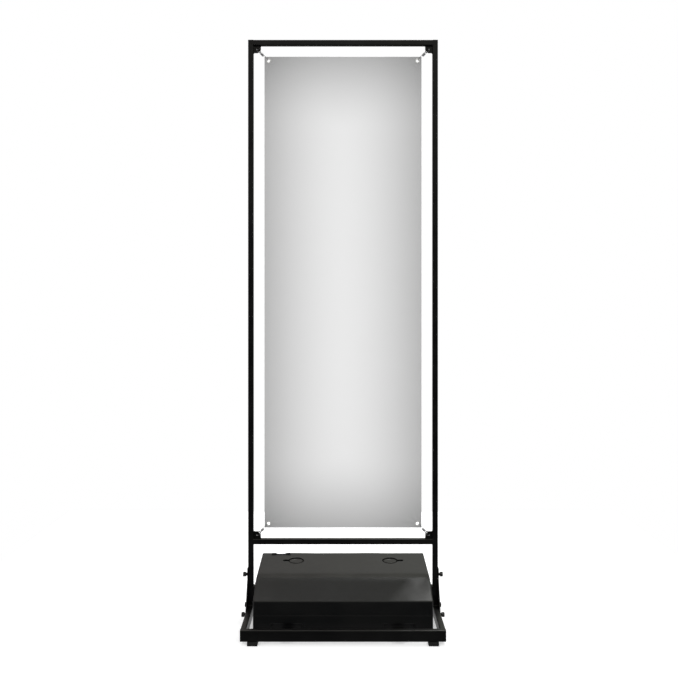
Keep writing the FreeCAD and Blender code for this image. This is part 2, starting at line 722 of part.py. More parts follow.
def foot_nut(side, end):
    """Hexagon nut welded inside the rail over the stud's hole."""
    seat = foot_place(side, end) + Z_AXIS * (RAIL_BOTTOM + RAIL_WALL)
    corner_radius = FOOT_NUT_FLATS / math.sqrt(3)
    points = []
    for number in range(6):
        angle = number * math.pi / 3
        points.append(seat + Vector(math.cos(angle), math.sin(angle), 0) * corner_radius)
    nut = prism(points, Z_AXIS * FOOT_NUT_HEIGHT)
    bore_top = seat + Z_AXIS * (FOOT_NUT_HEIGHT + OVERRUN)
    bore = rod(FOOT_STUD + 2 * RUNNING_GAP, seat - Z_AXIS * OVERRUN, bore_top)
    return nut.cut(bore)


def tank_top(y):
    """Height of the tank's sloping top at a depth."""
    return SUPPORT_TOP + TANK_FOLD_HEIGHT + (y - TANK_FOLD_Y) * TANK_SLOPE


def inset_outline(points, inset):
    """A convex outline moved inward by one distance on every side."""
    moved = []
    count = len(points)
    for number in range(count):
        before, here, after = points[number - 1], points[number], points[(number + 1) % count]
        first = (here - before).normalize()
        second = (after - here).normalize()
        bisector = (Vector(0, -first.z, first.y) + Vector(0, -second.z, second.y)).normalize()
        half_turn = first.getAngle(second) / 2
        moved.append(here + bisector * (inset / math.cos(half_turn)))
    return moved


def tank_body(inset):
    """The tank's rounded block, drawn in by a distance on every side."""
    front = -TANK_HALF_DEPTH
    rear = TANK_HALF_DEPTH
    outline = [Vector(0, front, SUPPORT_TOP), Vector(0, rear, SUPPORT_TOP),
               Vector(0, rear, SUPPORT_TOP + TANK_REAR_HEIGHT),
               Vector(0, TANK_FOLD_Y, SUPPORT_TOP + TANK_FOLD_HEIGHT),
               Vector(0, front, SUPPORT_TOP + TANK_FRONT_HEIGHT)]
    half = TANK_HALF_WIDTH - inset
    start = Vector(-half, 0, 0)
    points = [point + start for point in inset_outline(outline, inset)]
    body = prism(points, X_AXIS * (2 * half))
    rounding = max(TANK_ROUND - inset, TANK_ROUND / 4)
    return body.makeFillet(rounding, body.Edges)


def tank_pockets(growth):
    """The two grip pockets under the front edge and the scoop at the rear, grown by a wall."""
    pockets = []
    half = GRIP_WIDTH / 2 + growth
    for side in SIDES.values():
        middle = side * GRIP_PLACE
        pockets.append(block((middle - half, middle + half),
                             (-TANK_HALF_DEPTH - OVERRUN, -TANK_HALF_DEPTH + GRIP_DEPTH + growth),
                             (SUPPORT_TOP - OVERRUN, SUPPORT_TOP + GRIP_HEIGHT + growth)))
    half = SCOOP_WIDTH / 2 + growth
    floor = tank_top(TANK_HALF_DEPTH) - SCOOP_DEPTH - growth
    scoop = block((-SCOOP_PLACE - half, -SCOOP_PLACE + half),
                  (TANK_HALF_DEPTH - SCOOP_LENGTH - growth, TANK_HALF_DEPTH + OVERRUN),
                  (floor, tank_top(TANK_HALF_DEPTH) + OVERRUN))
    upright = [edge for edge in edges_along(scoop, Z_AXIS) if edge.CenterOfMass.y < TANK_HALF_DEPTH]
    pockets.append(scoop.makeFillet(SCOOP_ROUND + growth, upright))
    return pockets


def cap_seat(side):
    """The middle of the well's floor under a cap, whose front edge stands just above the slope."""
    top = tank_top(CAP_Y - CAP / 2) + CAP_RISE
    return Vector(side * CAP_PLACE, CAP_Y, top - CAP_HEIGHT)


def neck_top(side):
    """The middle of a filler neck's rim, under the seal."""
    return cap_seat(side) + Z_AXIS * (CAP_HEIGHT - CAP_TOP - SEAL_THICKNESS)


def cap_wells(growth):
    """The round well round each cap and the finger notch beside it, grown by a wall."""
    wells = []
    half = NOTCH_WIDTH / 2 + growth
    for side in SIDES.values():
        seat = cap_seat(side)
        mouth = Vector(seat.x, seat.y, tank_top(TANK_HALF_DEPTH) + OVERRUN)
        wells.append(rod(CAP + 2 * (WELL_GAP + growth), seat - Z_AXIS * growth, mouth))
        notch = block((seat.x, seat.x + side * (NOTCH_REACH + growth)), (seat.y - half, seat.y + half),
                      (tank_top(CAP_Y) - NOTCH_DEPTH - growth, mouth.z))
        upright = edges_along(notch, Z_AXIS)
        outermost = [edge for edge in upright if side * (edge.CenterOfMass.x - seat.x) > CAP / 2]
        wells.append(notch.makeFillet(NOTCH_ROUND + growth, outermost))
    return wells


def make_tank():
    """Hollow moulded tank with pockets, and with filler necks down in the wells of their caps."""
    outer = tank_body(0).cut(tank_pockets(0) + cap_wells(0))
    inner = tank_body(TANK_WALL).cut(tank_pockets(TANK_WALL) + cap_wells(TANK_WALL))
    neck = CAP - 2 * CAP_WALL - 2 * NECK_GAP
    bore = neck - 2 * NECK_WALL
    for side in SIDES.values():
        root = cap_seat(side) - Z_AXIS * (TANK_WALL / 2)
        outer = outer.fuse(rod(neck, root, neck_top(side)))
    tank = outer.removeSplitter().cut(inner)
    for side in SIDES.values():
        down = Z_AXIS * (CAP + TANK_WALL)
        tank = tank.cut(rod(bore, cap_seat(side) - down, neck_top(side) + Z_AXIS * OVERRUN))
    return tank


def make_cap(side):
    """Screw cap: a ribbed skirt round the neck and a flat top."""
    seat = cap_seat(side)
    top = seat + Z_AXIS * CAP_HEIGHT
    cap = rod(CAP, seat, top)
    cap = cap.makeFillet(CAP_ROUND, rim_edges(cap, top, CAP))
    cap = cap.cut(flutes(CAP_RIBS, CAP_RIB, CAP / 2, seat, top))
    return cap.cut(rod(CAP - 2 * CAP_WALL, seat - Z_AXIS * OVERRUN, top - Z_AXIS * CAP_TOP))


def make_seal(side):
    """Rubber sealing ring between a neck's rim and the inside of its cap."""
    rim = neck_top(side)
    outer = CAP - 2 * CAP_WALL - 2 * NECK_GAP
    inner = outer - 2 * NECK_WALL + 2 * SEAL_INSET
    return pipe_piece(outer, inner, rim, rim + Z_AXIS * SEAL_THICKNESS)


def frame_parts():
    """The upright frame with its plugs, corner brackets and their fasteners."""
    parts = {"top_bar": make_bar(1), "cross_bar": make_bar(-1)}
    for name, side in SIDES.items():
        parts[name + "_post"] = make_post(side)
    parts["post_top_plugs"] = group(mirrored(post_plug(1, True)))
    parts["post_foot_plugs"] = group(mirrored(post_plug(1, False)))
    screws = []
    inserts = []
    for corner in CORNERS:
        parts["corner_bracket_" + corner] = make_bracket(corner)
        for place, inward in corner_fasteners(corner):
            screws.append(corner_screw(place, inward))
            inserts.append(corner_insert(place, inward))
    parts["corner_screws"] = group(screws)
    parts["corner_rivet_nuts"] = group(inserts)
    return parts


def banner_parts():
    """The banner, its eyelets, and the rings and springs that stretch it."""
    parts = {"banner": make_banner(), "eyelets": group([eyelet(corner) for corner in CORNERS])}
    for corner in CORNERS:
        parts["spring_" + corner] = make_spring(corner)
    parts["hook_rings"] = group([hook_ring(corner) for corner in CORNERS])
    return parts


def base_parts():
    """The base's rails, plugs, sockets, gussets, tank supports and inserts."""
    parts = {}
    plugs = []
    for end in ENDS:
        parts["base_" + end + "_rail"] = make_end_rail(end)
        plugs += mirrored(rail_plug(1, end))
    parts["rail_end_plugs"] = group(plugs)
    rail_inserts = []
    for name, side in SIDES.items():
        parts["base_" + name + "_rail"] = make_side_rail(side)
        parts["tank_support_" + name] = make_support(side)
        parts["post_socket_" + name] = make_socket(side)
        parts["gusset_" + name] = make_gusset(side)
        rail_inserts += [knob_insert(side, end, RAIL_WALL) for end in ENDS]
    parts["rail_rivet_nuts"] = group(rail_inserts)
    parts["post_rivet_nuts"] = group([knob_insert(side, "top", TUBE_WALL) for side in SIDES.values()])
    return parts


def knob_parts():
    """The six hand knobs and their studs."""
    parts = {}
    for name, side in SIDES.items():
        for place_name, place in knob_places(side).items():
            outward = X_AXIS * side
            parts["knob_" + name + "_" + place_name] = make_knob(place, outward)
            parts["knob_stud_" + name + "_" + place_name] = make_knob_stud(place, outward)
    return parts


def foot_parts():
    """The four screw feet and their weld nuts."""
    parts = {}
    nuts = []
    for end in ENDS:
        for name, side in SIDES.items():
            parts["foot_pad_" + end + "_" + name] = make_pad(side, end)
            parts["foot_stud_" + end + "_" + name] = make_foot_stud(side, end)
            nuts.append(foot_nut(side, end))
    parts["foot_weld_nuts"] = group(nuts)
    return parts


def tank_parts():
    """The ballast tank with its caps and seals."""
    parts = {"tank_shell": make_tank()}
    for name, side in SIDES.items():
        parts["tank_cap_" + name] = make_cap(side)
        parts["cap_seal_" + name] = make_seal(side)
    return parts


def main():
    """Build every sub-part and write each to its own file."""
    os.makedirs("parts", exist_ok=True)
    parts = {}
    for section in (frame_parts, banner_parts, base_parts, knob_parts, foot_parts, tank_parts):
        parts.update(section())
    for name, shape in parts.items():
        shape.exportStep(os.path.join("parts", name + ".step"))
    print(len(parts), "sub-parts")


main()
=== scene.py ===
import json
import math

import bmesh
import bpy
import numpy as np
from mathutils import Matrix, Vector


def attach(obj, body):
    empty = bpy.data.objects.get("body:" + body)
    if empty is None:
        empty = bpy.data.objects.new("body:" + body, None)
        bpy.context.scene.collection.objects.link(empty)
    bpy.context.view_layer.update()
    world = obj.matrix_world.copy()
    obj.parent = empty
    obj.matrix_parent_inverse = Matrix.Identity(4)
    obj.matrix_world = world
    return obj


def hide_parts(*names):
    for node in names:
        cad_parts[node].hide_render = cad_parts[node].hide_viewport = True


# Visual model of a banner stand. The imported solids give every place; this script gives the finishes
# and the pieces whose real shape is finer than their solids: banner, eyelets, springs, hook rings,
# bushes, tank, caps, knobs, studs, feet and weld seams. Shapes are worked out in millimetres and
# turned into metres as each piece is made.
MM = 0.001
TAU = 2 * math.pi

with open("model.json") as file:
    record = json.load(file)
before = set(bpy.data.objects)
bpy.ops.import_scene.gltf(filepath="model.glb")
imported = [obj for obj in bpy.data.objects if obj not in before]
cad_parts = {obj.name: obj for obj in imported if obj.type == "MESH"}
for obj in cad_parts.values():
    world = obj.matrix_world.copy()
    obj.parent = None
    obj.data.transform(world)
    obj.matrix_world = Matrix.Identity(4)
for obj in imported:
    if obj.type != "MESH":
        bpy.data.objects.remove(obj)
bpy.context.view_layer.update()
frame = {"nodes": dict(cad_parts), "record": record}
nodes = frame["nodes"]

SIDES = {"left": -1, "right": 1}
ENDS = {"front": -1, "rear": 1}
CORNERS = {"top_left": (-1, 1), "top_right": (1, 1), "bottom_left": (-1, -1), "bottom_right": (1, -1)}

# Sizes repeated from the solids, in millimetres
BANNER_WIDTH, BANNER_HEIGHT, BANNER_BOTTOM = 600.0, 1800.0, 345.0
EYELET_INSET = 15.5
FRAME_INNER, TUBE = 342.0, 20.0
CROSS_BAR_BOTTOM, TOP_BAR_BOTTOM = 283.0, 2187.0
HOOK_HOLE_INSET, HOOK_HOLE_RADIUS = 14.0, 3.5
TANK_HALF, TANK_DEPTH, TANK_FLOOR = 325.0, 176.0, 20.0
TANK_FRONT_TOP, TANK_REAR_TOP = 127.5, 195.5
TANK_FOLD_Y, TANK_FOLD_Z = -67.0, 177.0
GRIP_X, GRIP_HALF, SCOOP_X, SCOOP_HALF = 203.0, 56.0, -249.5, 36.5
CAP_X, CAP_Y, CAP_SEAT = 185.0, 96.0, 177.99
WELL_RADIUS, NOTCH_REACH, NOTCH_HALF, NOTCH_FLOOR = 30.0, 52.0, 8.5, 181.41
NECK_RADIUS, NECK_BORE, NECK_TOP = 22.2, 18.2, 183.49
KNOB_X, FOOT_X, FOOT_Y = 365.0, 318.0, 240.0
KNOB_PLACES = {"top": (0.0, 167.0), "front": (-50.0, 32.0), "rear": (50.0, 32.0)}

# Sizes of the finer shapes, in millimetres
EYELET_CUT = 7.6
RING_RADIUS, RING_WIRE, RING_OFFSET, SPRING_WIRE = 7.75, 3.0, 0.5, 1.6
TANK_SEAM, SEAM_RISE, END_RADIUS = 75.0, 0.45, 6.0
PATCH_INNER, PATCH_OUTER, PATCH_HALF = 150.0, 245.0, 36.0


def new_object(name, data):
    """A new object, linked into the scene."""
    made = bpy.data.objects.new(name, data)
    bpy.context.scene.collection.objects.link(made)
    return made


def aim_camera():
    """Level camera at eye height, whose lens and shift put the stand where the photograph has it."""
    data = bpy.data.cameras.new("view")
    data.sensor_width = 36.0
    data.lens = 41.78
    data.shift_x = -0.0059
    data.shift_y = -0.0401
    data.clip_end = 60.0
    camera = new_object("view", data)
    camera.location = (0.0, -3.009, 1.170)
    camera.rotation_euler = (math.pi / 2, 0.0, 0.0)
    bpy.context.scene.camera = camera


aim_camera()


# Surfaces as arrays


def smooth_step(value, start, end):
    """0 before start, 1 after end, and 3t^2 - 2t^3 between them."""
    t = np.clip((value - start) / (end - start), 0.0, 1.0)
    return t * t * (3.0 - 2.0 * t)


def unit(vectors):
    """Vectors divided by their lengths."""
    return vectors / np.maximum(np.linalg.norm(vectors, axis=-1, keepdims=True), 1e-12)


def rounded_line(corners, reach, arc_steps, runs, closed):
    """A line through corners, each rounded from reach before it to reach after it by the conic
    (a^2 p + 2 w a b q + b^2 r) / (a^2 + 2 w a b + b^2), with b from 0 to 1, a = 1 - b and w the cosine
    of half the turn, which is a circular arc. The straight after each corner is divided into as many
    steps as runs says, so two lines with the same runs match point by point. An open line has reach 0
    at both ends."""
    corners = np.asarray(corners, dtype=float)
    before = unit(corners - np.roll(corners, 1, axis=0))
    after = unit(np.roll(corners, -1, axis=0) - corners)
    cosine = np.sum(before * after, axis=1)
    weight = np.sqrt(np.maximum((1 + cosine) / 2, 0.0))
    reach = np.broadcast_to(reach, (len(corners),))[:, None]
    enter = corners - before * reach
    leave = corners + after * reach
    b = np.linspace(0.0, 1.0, arc_steps + 1)[None, :, None]
    a = 1.0 - b
    w = weight[:, None, None]
    top = a * a * enter[:, None] + 2 * w * a * b * corners[:, None] + b * b * leave[:, None]
    arcs = top / (a * a + 2 * w * a * b + b * b)
    count = len(corners)
    pieces = []
    for number in range(count):
        rounded = closed or 0 < number < count - 1
        pieces.append(arcs[number] if rounded else corners[number:number + 1])
        if closed or number < count - 1:
            start, end = leave[number], enter[(number + 1) % count]
            share = np.linspace(0.0, 1.0, runs[number] + 1)[1:-1, None]
            pieces.append(start + (end - start) * share)
    return np.concatenate(pieces)


def skin(rings, closed=False):
    """Points and faces of a surface through rings of points, shape (rings, around, 3).
    Closed joins the last ring to the first; otherwise a fan to each end ring's middle closes it.
    The faces are a list of arrays: the four-sided ones, then each fan."""
    count, around = rings.shape[:2]
    points = rings.reshape(-1, 3)
    along = np.arange(count if closed else count - 1)[:, None]
    here = along * around
    there = ((along + 1) % count) * around
    turn = np.arange(around)
    step = (turn + 1) % around
    faces = [np.stack([here + turn, here + step, there + step, there + turn], axis=-1).reshape(-1, 4)]
    if not closed:
        pole = len(points)
        far = pole - around
        faces.append(np.stack([step, turn, np.full(around, pole)], axis=-1))
        faces.append(np.stack([far + turn, far + step, np.full(around, pole + 1)], axis=-1))
        points = np.concatenate([points, [rings[0].mean(axis=0), rings[-1].mean(axis=0)]])
    return points, faces


def turned(outline, around, flute=None):
    """Rings turned about +Z from an outline of (radius, height), with flute(angle, radius, height) added
    to the radius."""
    angle = np.linspace(0.0, TAU, around, endpoint=False)[None, :]
    radius, height = outline[:, :1], outline[:, 1:2]
    if flute is not None:
        radius = radius + flute(angle, radius, height)
    x = radius * np.cos(angle)
    y = radius * np.sin(angle)
    return np.stack([x, y, np.broadcast_to(height, x.shape)], axis=-1)


def circle(angle):
    """Points of the unit circle at the angles."""
    return np.stack([np.cos(angle), np.sin(angle)], axis=-1)


def placed(rings, place, axis):
    """Rings made about +Z, moved so that +Z is axis and the origin is place."""
    axis = np.asarray(axis, dtype=float)
    side = unit(np.cross(axis, [0.0, 1.0, 0.0] if abs(axis[1]) < 0.9 else [1.0, 0.0, 0.0]))
    up = np.cross(axis, side)
    turn = np.stack([side, up, axis])
    return rings @ turn + np.asarray(place, dtype=float)


def at_height(plan, height):
    """A plan outline of (x, y) at a height, which may change from point to point."""
    return np.concatenate([plan, np.broadcast_to(height, (len(plan),))[:, None]], axis=1)


def path_frames(path, closed):
    """Two directions across a path at each station, without twist. Each pair starts square to the axis
    that is least along the path there. With t and u the tangents of two neighbours and k = t x u, a
    direction v is carried on as v + k x v + k x (k x v) / (1 + t . u), and the angle between it and
    the next pair is summed along the path and taken out."""
    if closed:
        tangent = unit(np.roll(path, -1, axis=0) - np.roll(path, 1, axis=0))
    else:
        tangent = unit(np.gradient(path, axis=0))
    start = unit(np.cross(tangent, np.eye(3)[np.argmin(np.abs(tangent), axis=1)]))
    other = np.cross(tangent, start)
    bend = np.cross(tangent[:-1], tangent[1:])
    tilt = np.cross(bend, start[:-1])
    cosine = np.sum(tangent[:-1] * tangent[1:], axis=1, keepdims=True)
    carried = start[:-1] + tilt + np.cross(bend, tilt) / (1.0 + cosine)
    twist = np.arctan2(np.sum(carried * other[1:], axis=1), np.sum(carried * start[1:], axis=1))
    turn = np.concatenate([[0.0], np.cumsum(twist)])[:, None]
    first = np.cos(turn) * start + np.sin(turn) * other
    return first, np.cross(tangent, first)


def swept(path, radius, around, closed=False):
    """Rings of a round wire along a path; radius may change from station to station."""
    path = np.asarray(path, dtype=float)
    first, second = path_frames(path, closed)
    angle = np.linspace(0.0, TAU, around, endpoint=False)[None, :, None]
    radius = np.broadcast_to(radius, (len(path),))[:, None, None]
    return path[:, None] + radius * (np.cos(angle) * first[:, None] + np.sin(angle) * second[:, None])


def divided(path, count):
    """A path divided again into a count of equal steps."""
    length = np.concatenate([[0.0], np.cumsum(np.linalg.norm(np.diff(path, axis=0), axis=1))])
    wanted = np.linspace(0.0, length[-1], count + 1)
    return np.stack([np.interp(wanted, length, values) for values in path.T], axis=-1)


def even_steps(path, step):
    """A path divided again into equal steps of about a given length."""
    length = np.sum(np.linalg.norm(np.diff(path, axis=0), axis=1))
    return divided(path, max(int(round(length / step)), 2))


def add_piece(name, parts, body, slot, replaced=(), sharp=35, finish=None):
    """One piece from closed (points, faces) parts given in millimetres, with faces turned outwards. It
    takes its slot's finish unless another is given."""
    points = []
    faces = []
    count = 0
    for part_points, part_faces in parts:
        points.append(part_points)
        for block in part_faces:
            faces += (block + count).tolist()
        count += len(part_points)
    mesh = bpy.data.meshes.new(name)
    mesh.from_pydata((np.concatenate(points) * MM).tolist(), [], faces)
    work = bmesh.new()
    work.from_mesh(mesh)
    bmesh.ops.recalc_face_normals(work, faces=work.faces)
    work.to_mesh(mesh)
    work.free()
    mesh.polygons.foreach_set("use_smooth", np.ones(len(mesh.polygons), dtype=bool))
    mesh.set_sharp_from_angle(angle=math.radians(sharp))
    mesh.update()
    mesh.materials.append(finish or FINISHES[slot])
    piece = new_object(name, mesh)
    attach(piece, body)
    if replaced:
        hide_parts(*replaced)
    return piece


# Materials


class NodeTree:
    """Short calls that add shader nodes to a tree and link them."""

    def __init__(self, tree):
        self.nodes = tree.nodes
        self.links = tree.links

    def put(self, node, socket, value):
        """Link an output to a socket, or set a plain value on it."""
        if isinstance(value, bpy.types.NodeSocket):
            self.links.new(value, node.inputs[socket])
        else:
            node.inputs[socket].default_value = value

    def node(self, kind, settings=(), **inputs):
        """A new node with its settings, and inputs named with _ for a space."""
        made = self.nodes.new(kind)
        for key, value in dict(settings).items():
            setattr(made, key, value)
        for key, value in inputs.items():
            self.put(made, key.replace("_", " "), value)
        return made

    def place(self, kind="Object"):
        """Coordinates, by default the piece's own."""
        return self.node("ShaderNodeTexCoord").outputs[kind]

    def split(self, vector):
        """A vector's X, Y and Z."""
        return self.node("ShaderNodeSeparateXYZ", Vector=vector).outputs

    def noise(self, vector, scale, detail=2.0, roughness=0.5):
        """Grey noise of about one feature in 1/scale of a metre."""
        made = self.node("ShaderNodeTexNoise", Vector=vector, Scale=scale, Detail=detail, Roughness=roughness)
        return made.outputs["Fac"]

    def math(self, operation, *values):
        """A math node on numbers or outputs."""
        made = self.node("ShaderNodeMath", {"operation": operation})
        for number, value in enumerate(values):
            self.put(made, number, value)
        return made.outputs[0]

    def ramp(self, value, low, high, out_low=0.0, out_high=1.0):
        """A value carried from one range to another with soft ends."""
        made = self.node("ShaderNodeMapRange", {"interpolation_type": "SMOOTHSTEP"})
        for number, item in enumerate((value, low, high, out_low, out_high)):
            self.put(made, number, item)
        return made.outputs[0]

    def mixed(self, share, first, second):
        """Two colours mixed by a share."""
        made = self.node("ShaderNodeMix", {"data_type": "RGBA"})
        self.put(made, 0, share)
        for socket, color in ((6, first), (7, second)):
            self.put(made, socket, color if isinstance(color, bpy.types.NodeSocket) else (*color, 1.0))
        return made.outputs[2]

    def blend(self, share, first, second):
        """Two shaders mixed by a share."""
        made = self.node("ShaderNodeMixShader", Fac=share)
        self.put(made, 1, first.outputs[0])
        self.put(made, 2, second.outputs[0])
        return made


class Finish(NodeTree):
    """A material with one Principled shader."""

    def __init__(self, name, color, roughness, specular=0.5, metallic=0.0):
        self.material = bpy.data.materials.new(name)
        self.material.use_nodes = True
        super().__init__(self.material.node_tree)
        self.shader = self.nodes["Principled BSDF"]
        self.shade("Base Color", (*color, 1.0))
        self.shade("Roughness", roughness)
        self.shade("Specular IOR Level", specular)
        self.shade("Metallic", metallic)
        self.material.diffuse_color = (*color, 1.0)

    def shade(self, socket, value):
        """Put an output or a plain value on the shader."""
        self.put(self.shader, socket, value)

    def bump(self, height, distance, strength=1.0, under=None):
        """A bump of a distance in metres on the shader, laid over an earlier one."""
        made = self.node("ShaderNodeBump", Height=height, Distance=distance, Strength=strength)
        if under is not None:
            self.put(made, "Normal", under)
        self.shade("Normal", made.outputs["Normal"])
        return made.outputs["Normal"]


def powder_coat_finish():
    """Satin black powder coat: orange peel of about 1.5 mm, faint cloudiness and fine dust specks."""
    coat = Finish("powder_coat", (0.0022, 0.0022, 0.0023), 0.36)
    place = coat.place()
    cloud = coat.noise(place, 9.0, 3.0)
    speck = coat.noise(place, 2600.0, 1.0)
    tone = coat.mixed(coat.ramp(cloud, 0.35, 0.7), (0.0016, 0.0016, 0.0017), (0.0032, 0.0032, 0.0031))
    coat.shade("Base Color", coat.mixed(coat.ramp(speck, 0.68, 0.8, 0.0, 0.6), tone, (0.008, 0.008, 0.0078)))
    coat.shade("Roughness", coat.ramp(cloud, 0.3, 0.75, 0.32, 0.42))
    peel = coat.bump(coat.noise(place, 620.0, 1.0), 0.00014, 0.8)
    coat.bump(speck, 0.00002, 0.5, peel)
    return coat.material


def moulded_finish(name, color, lighter, roughness, specular, grain=900.0):
    """Moulded black plastic: spark-eroded grain, slow changes of tone and rubbed, lighter patches."""
    plastic = Finish(name, color, roughness, specular)
    place = plastic.place()
    cloud = plastic.noise(place, 7.0, 4.0, 0.6)
    plastic.shade("Base Color", plastic.mixed(plastic.ramp(cloud, 0.35, 0.72), color, lighter))
    plastic.shade("Roughness", plastic.ramp(cloud, 0.25, 0.8, roughness - 0.06, roughness + 0.08))
    grains = plastic.bump(plastic.noise(place, grain, 2.0), 0.0001, 0.8)
    plastic.bump(plastic.noise(place, 60.0, 2.0), 0.0002, 0.25, grains)
    return plastic.material


def metal_finish(name, color, roughness, metallic):
    """Plated steel: tarnish in patches, a slightly uneven, part matt shine and a fine grain."""
    metal = Finish(name, color, roughness, 0.5, metallic)
    place = metal.place()
    patch = metal.noise(place, 140.0, 3.0)
    darker = tuple(0.62 * value for value in color)
    metal.shade("Base Color", metal.mixed(metal.ramp(patch, 0.4, 0.75), color, darker))
    metal.shade("Roughness", metal.ramp(patch, 0.3, 0.8, roughness - 0.07, roughness + 0.12))
    metal.bump(metal.noise(place, 1200.0, 2.0), 0.00003, 0.5)
    return metal.material


def rubber_finish():
    """Matt black sealing rubber with a fine pore."""
    rubber = Finish("seal_rubber", (0.012, 0.012, 0.012), 0.75, 0.25)
    rubber.bump(rubber.noise(rubber.place(), 1500.0, 2.0), 0.00004, 0.6)
    return rubber.material


def vinyl_weave(sheet):
    """Bump of the threads inside coated banner cloth: two crossed sine waves 0.9 mm apart. Gives back
    the cloth's own u and v."""
    uv = sheet.split(sheet.place("UV"))
    across = sheet.math("SINE", sheet.math("MULTIPLY", uv["X"], TAU * BANNER_WIDTH / 0.9))
    along = sheet.math("SINE", sheet.math("MULTIPLY", uv["Y"], TAU * BANNER_HEIGHT / 0.9))
    woven = sheet.bump(sheet.math("MULTIPLY", across, along), 0.00002, 0.5)
    sheet.bump(sheet.noise(sheet.place(), 24.0, 2.0), 0.0006, 0.12, woven)
    return uv["X"], uv["Y"]


def banner_front_finish():
    """Front: a soft grey fade that darkens towards all four edges.
    With u and v from 0 to 1, m = |2u - 1| and s the lesser of v and 1 - v, the grey is
    232 - (a^1.3 + b^1.3)^(1/1.3) of 255, where a = 49 m^1.8 and b = 50 (1 - s / 0.157)^1.55, or 0 from
    s = 0.157 on."""
    sheet = Finish("banner_front", (0.72, 0.72, 0.72), 0.62, 0.25)
    u, v = vinyl_weave(sheet)
    calc = sheet.math
    off = calc("MULTIPLY", calc("ABSOLUTE", calc("SUBTRACT", u, 0.5)), 2.0)
    side = calc("MULTIPLY", calc("POWER", off, 1.8), 49.0)
    near = calc("MINIMUM", v, calc("SUBTRACT", 1.0, v))
    left = calc("MAXIMUM", calc("SUBTRACT", 1.0, calc("DIVIDE", near, 0.157)), 0.0)
    end = calc("MULTIPLY", calc("POWER", left, 1.55), 50.0)
    total = calc("ADD", calc("POWER", side, 1.3), calc("POWER", end, 1.3))
    grey = calc("DIVIDE", calc("SUBTRACT", 232.0, calc("POWER", total, 1 / 1.3)), 255.0)
    linear = calc("POWER", calc("DIVIDE", calc("ADD", grey, 0.055), 1.055), 2.4)
    color = sheet.node("ShaderNodeCombineColor", Red=linear, Green=linear, Blue=linear)
    sheet.shade("Base Color", color.outputs["Color"])
    return sheet.material


def banner_back_finish():
    """Plain back of the coated cloth, off-white, with the threads showing a little."""
    sheet = Finish("banner_back", (0.66, 0.66, 0.65), 0.7, 0.2)
    u, _ = vinyl_weave(sheet)
    grid = sheet.math("SINE", sheet.math("MULTIPLY", u, TAU * BANNER_WIDTH / 1.8))
    tone = sheet.mixed(sheet.ramp(grid, -1.0, 1.0), (0.64, 0.64, 0.63), (0.68, 0.68, 0.67))
    sheet.shade("Base Color", tone)
    return sheet.material


RING_STEEL = metal_finish("ring_steel", (0.11, 0.11, 0.115), 0.38, 0.6)
BANNER_FRONT = banner_front_finish()
BANNER_BACK = banner_back_finish()
TANK_TONES = (0.0016, 0.0019, 0.0022), (0.003, 0.0032, 0.0034)
FINISHES = {
    "powder_coat": powder_coat_finish(),
    "tank_plastic": moulded_finish("tank_plastic", *TANK_TONES, 0.5, 0.5, 700.0),
    "cap_plastic": moulded_finish("cap_plastic", (0.005, 0.005, 0.0054), (0.009, 0.009, 0.009), 0.38, 0.5),
    "knob_plastic": moulded_finish("knob_plastic", (0.004, 0.004, 0.0043), (0.007, 0.007, 0.007), 0.4, 0.5),
    "foot_plastic": moulded_finish("foot_plastic", (0.009, 0.009, 0.0094), (0.015, 0.015, 0.0147), 0.5, 0.4),
    "plug_plastic": moulded_finish("plug_plastic", (0.004, 0.004, 0.0042), (0.007, 0.007, 0.007), 0.46, 0.4),
    "seal_rubber": rubber_finish(),
    "zinc_steel": metal_finish("zinc_steel", (0.62, 0.62, 0.6), 0.32, 0.85),
    "spring_steel": metal_finish("spring_steel", (0.42, 0.42, 0.43), 0.36, 0.6),
    "eyelet_metal": metal_finish("eyelet_metal", (0.74, 0.74, 0.73), 0.34, 0.58),
    "banner_sheet": BANNER_BACK,
}


def add_moving(name, node, rings, slot, sharp):
    """A piece of one closed skin in place of a node that is alone on the body of its own name."""
    add_piece(name, [skin(rings)], node, slot, [node], sharp)


def dress_solids():
    """Give every solid that stays the finish of its own slot."""
    slots = {item["node"]: item["material_slot"] for item in frame["record"]["subparts"]}
    for name, solid in nodes.items():
        solid.data.materials.clear()
        solid.data.materials.append(FINISHES[slots[name]])


dress_solids()


# Banner


def eyelet_middle(corner):
    """The middle of a corner's eyelet as (x, z)."""
    side, level = CORNERS[corner]
    edge = BANNER_BOTTOM + (BANNER_HEIGHT if level > 0 else 0.0)
    return side * (BANNER_WIDTH / 2 - EYELET_INSET), edge - level * EYELET_INSET


def graded_lines(low, high, margin, fine, coarse):
    """Grid lines that are fine within a margin of both ends and coarse between."""
    middle = np.linspace(low + margin, high - margin, int((high - low - 2 * margin) / coarse) + 1)
    start = np.linspace(low, low + margin, int(margin / fine) + 1)
    end = np.linspace(high - margin, high, int(margin / fine) + 1)
    return np.concatenate([start[:-1], middle, end[1:]])


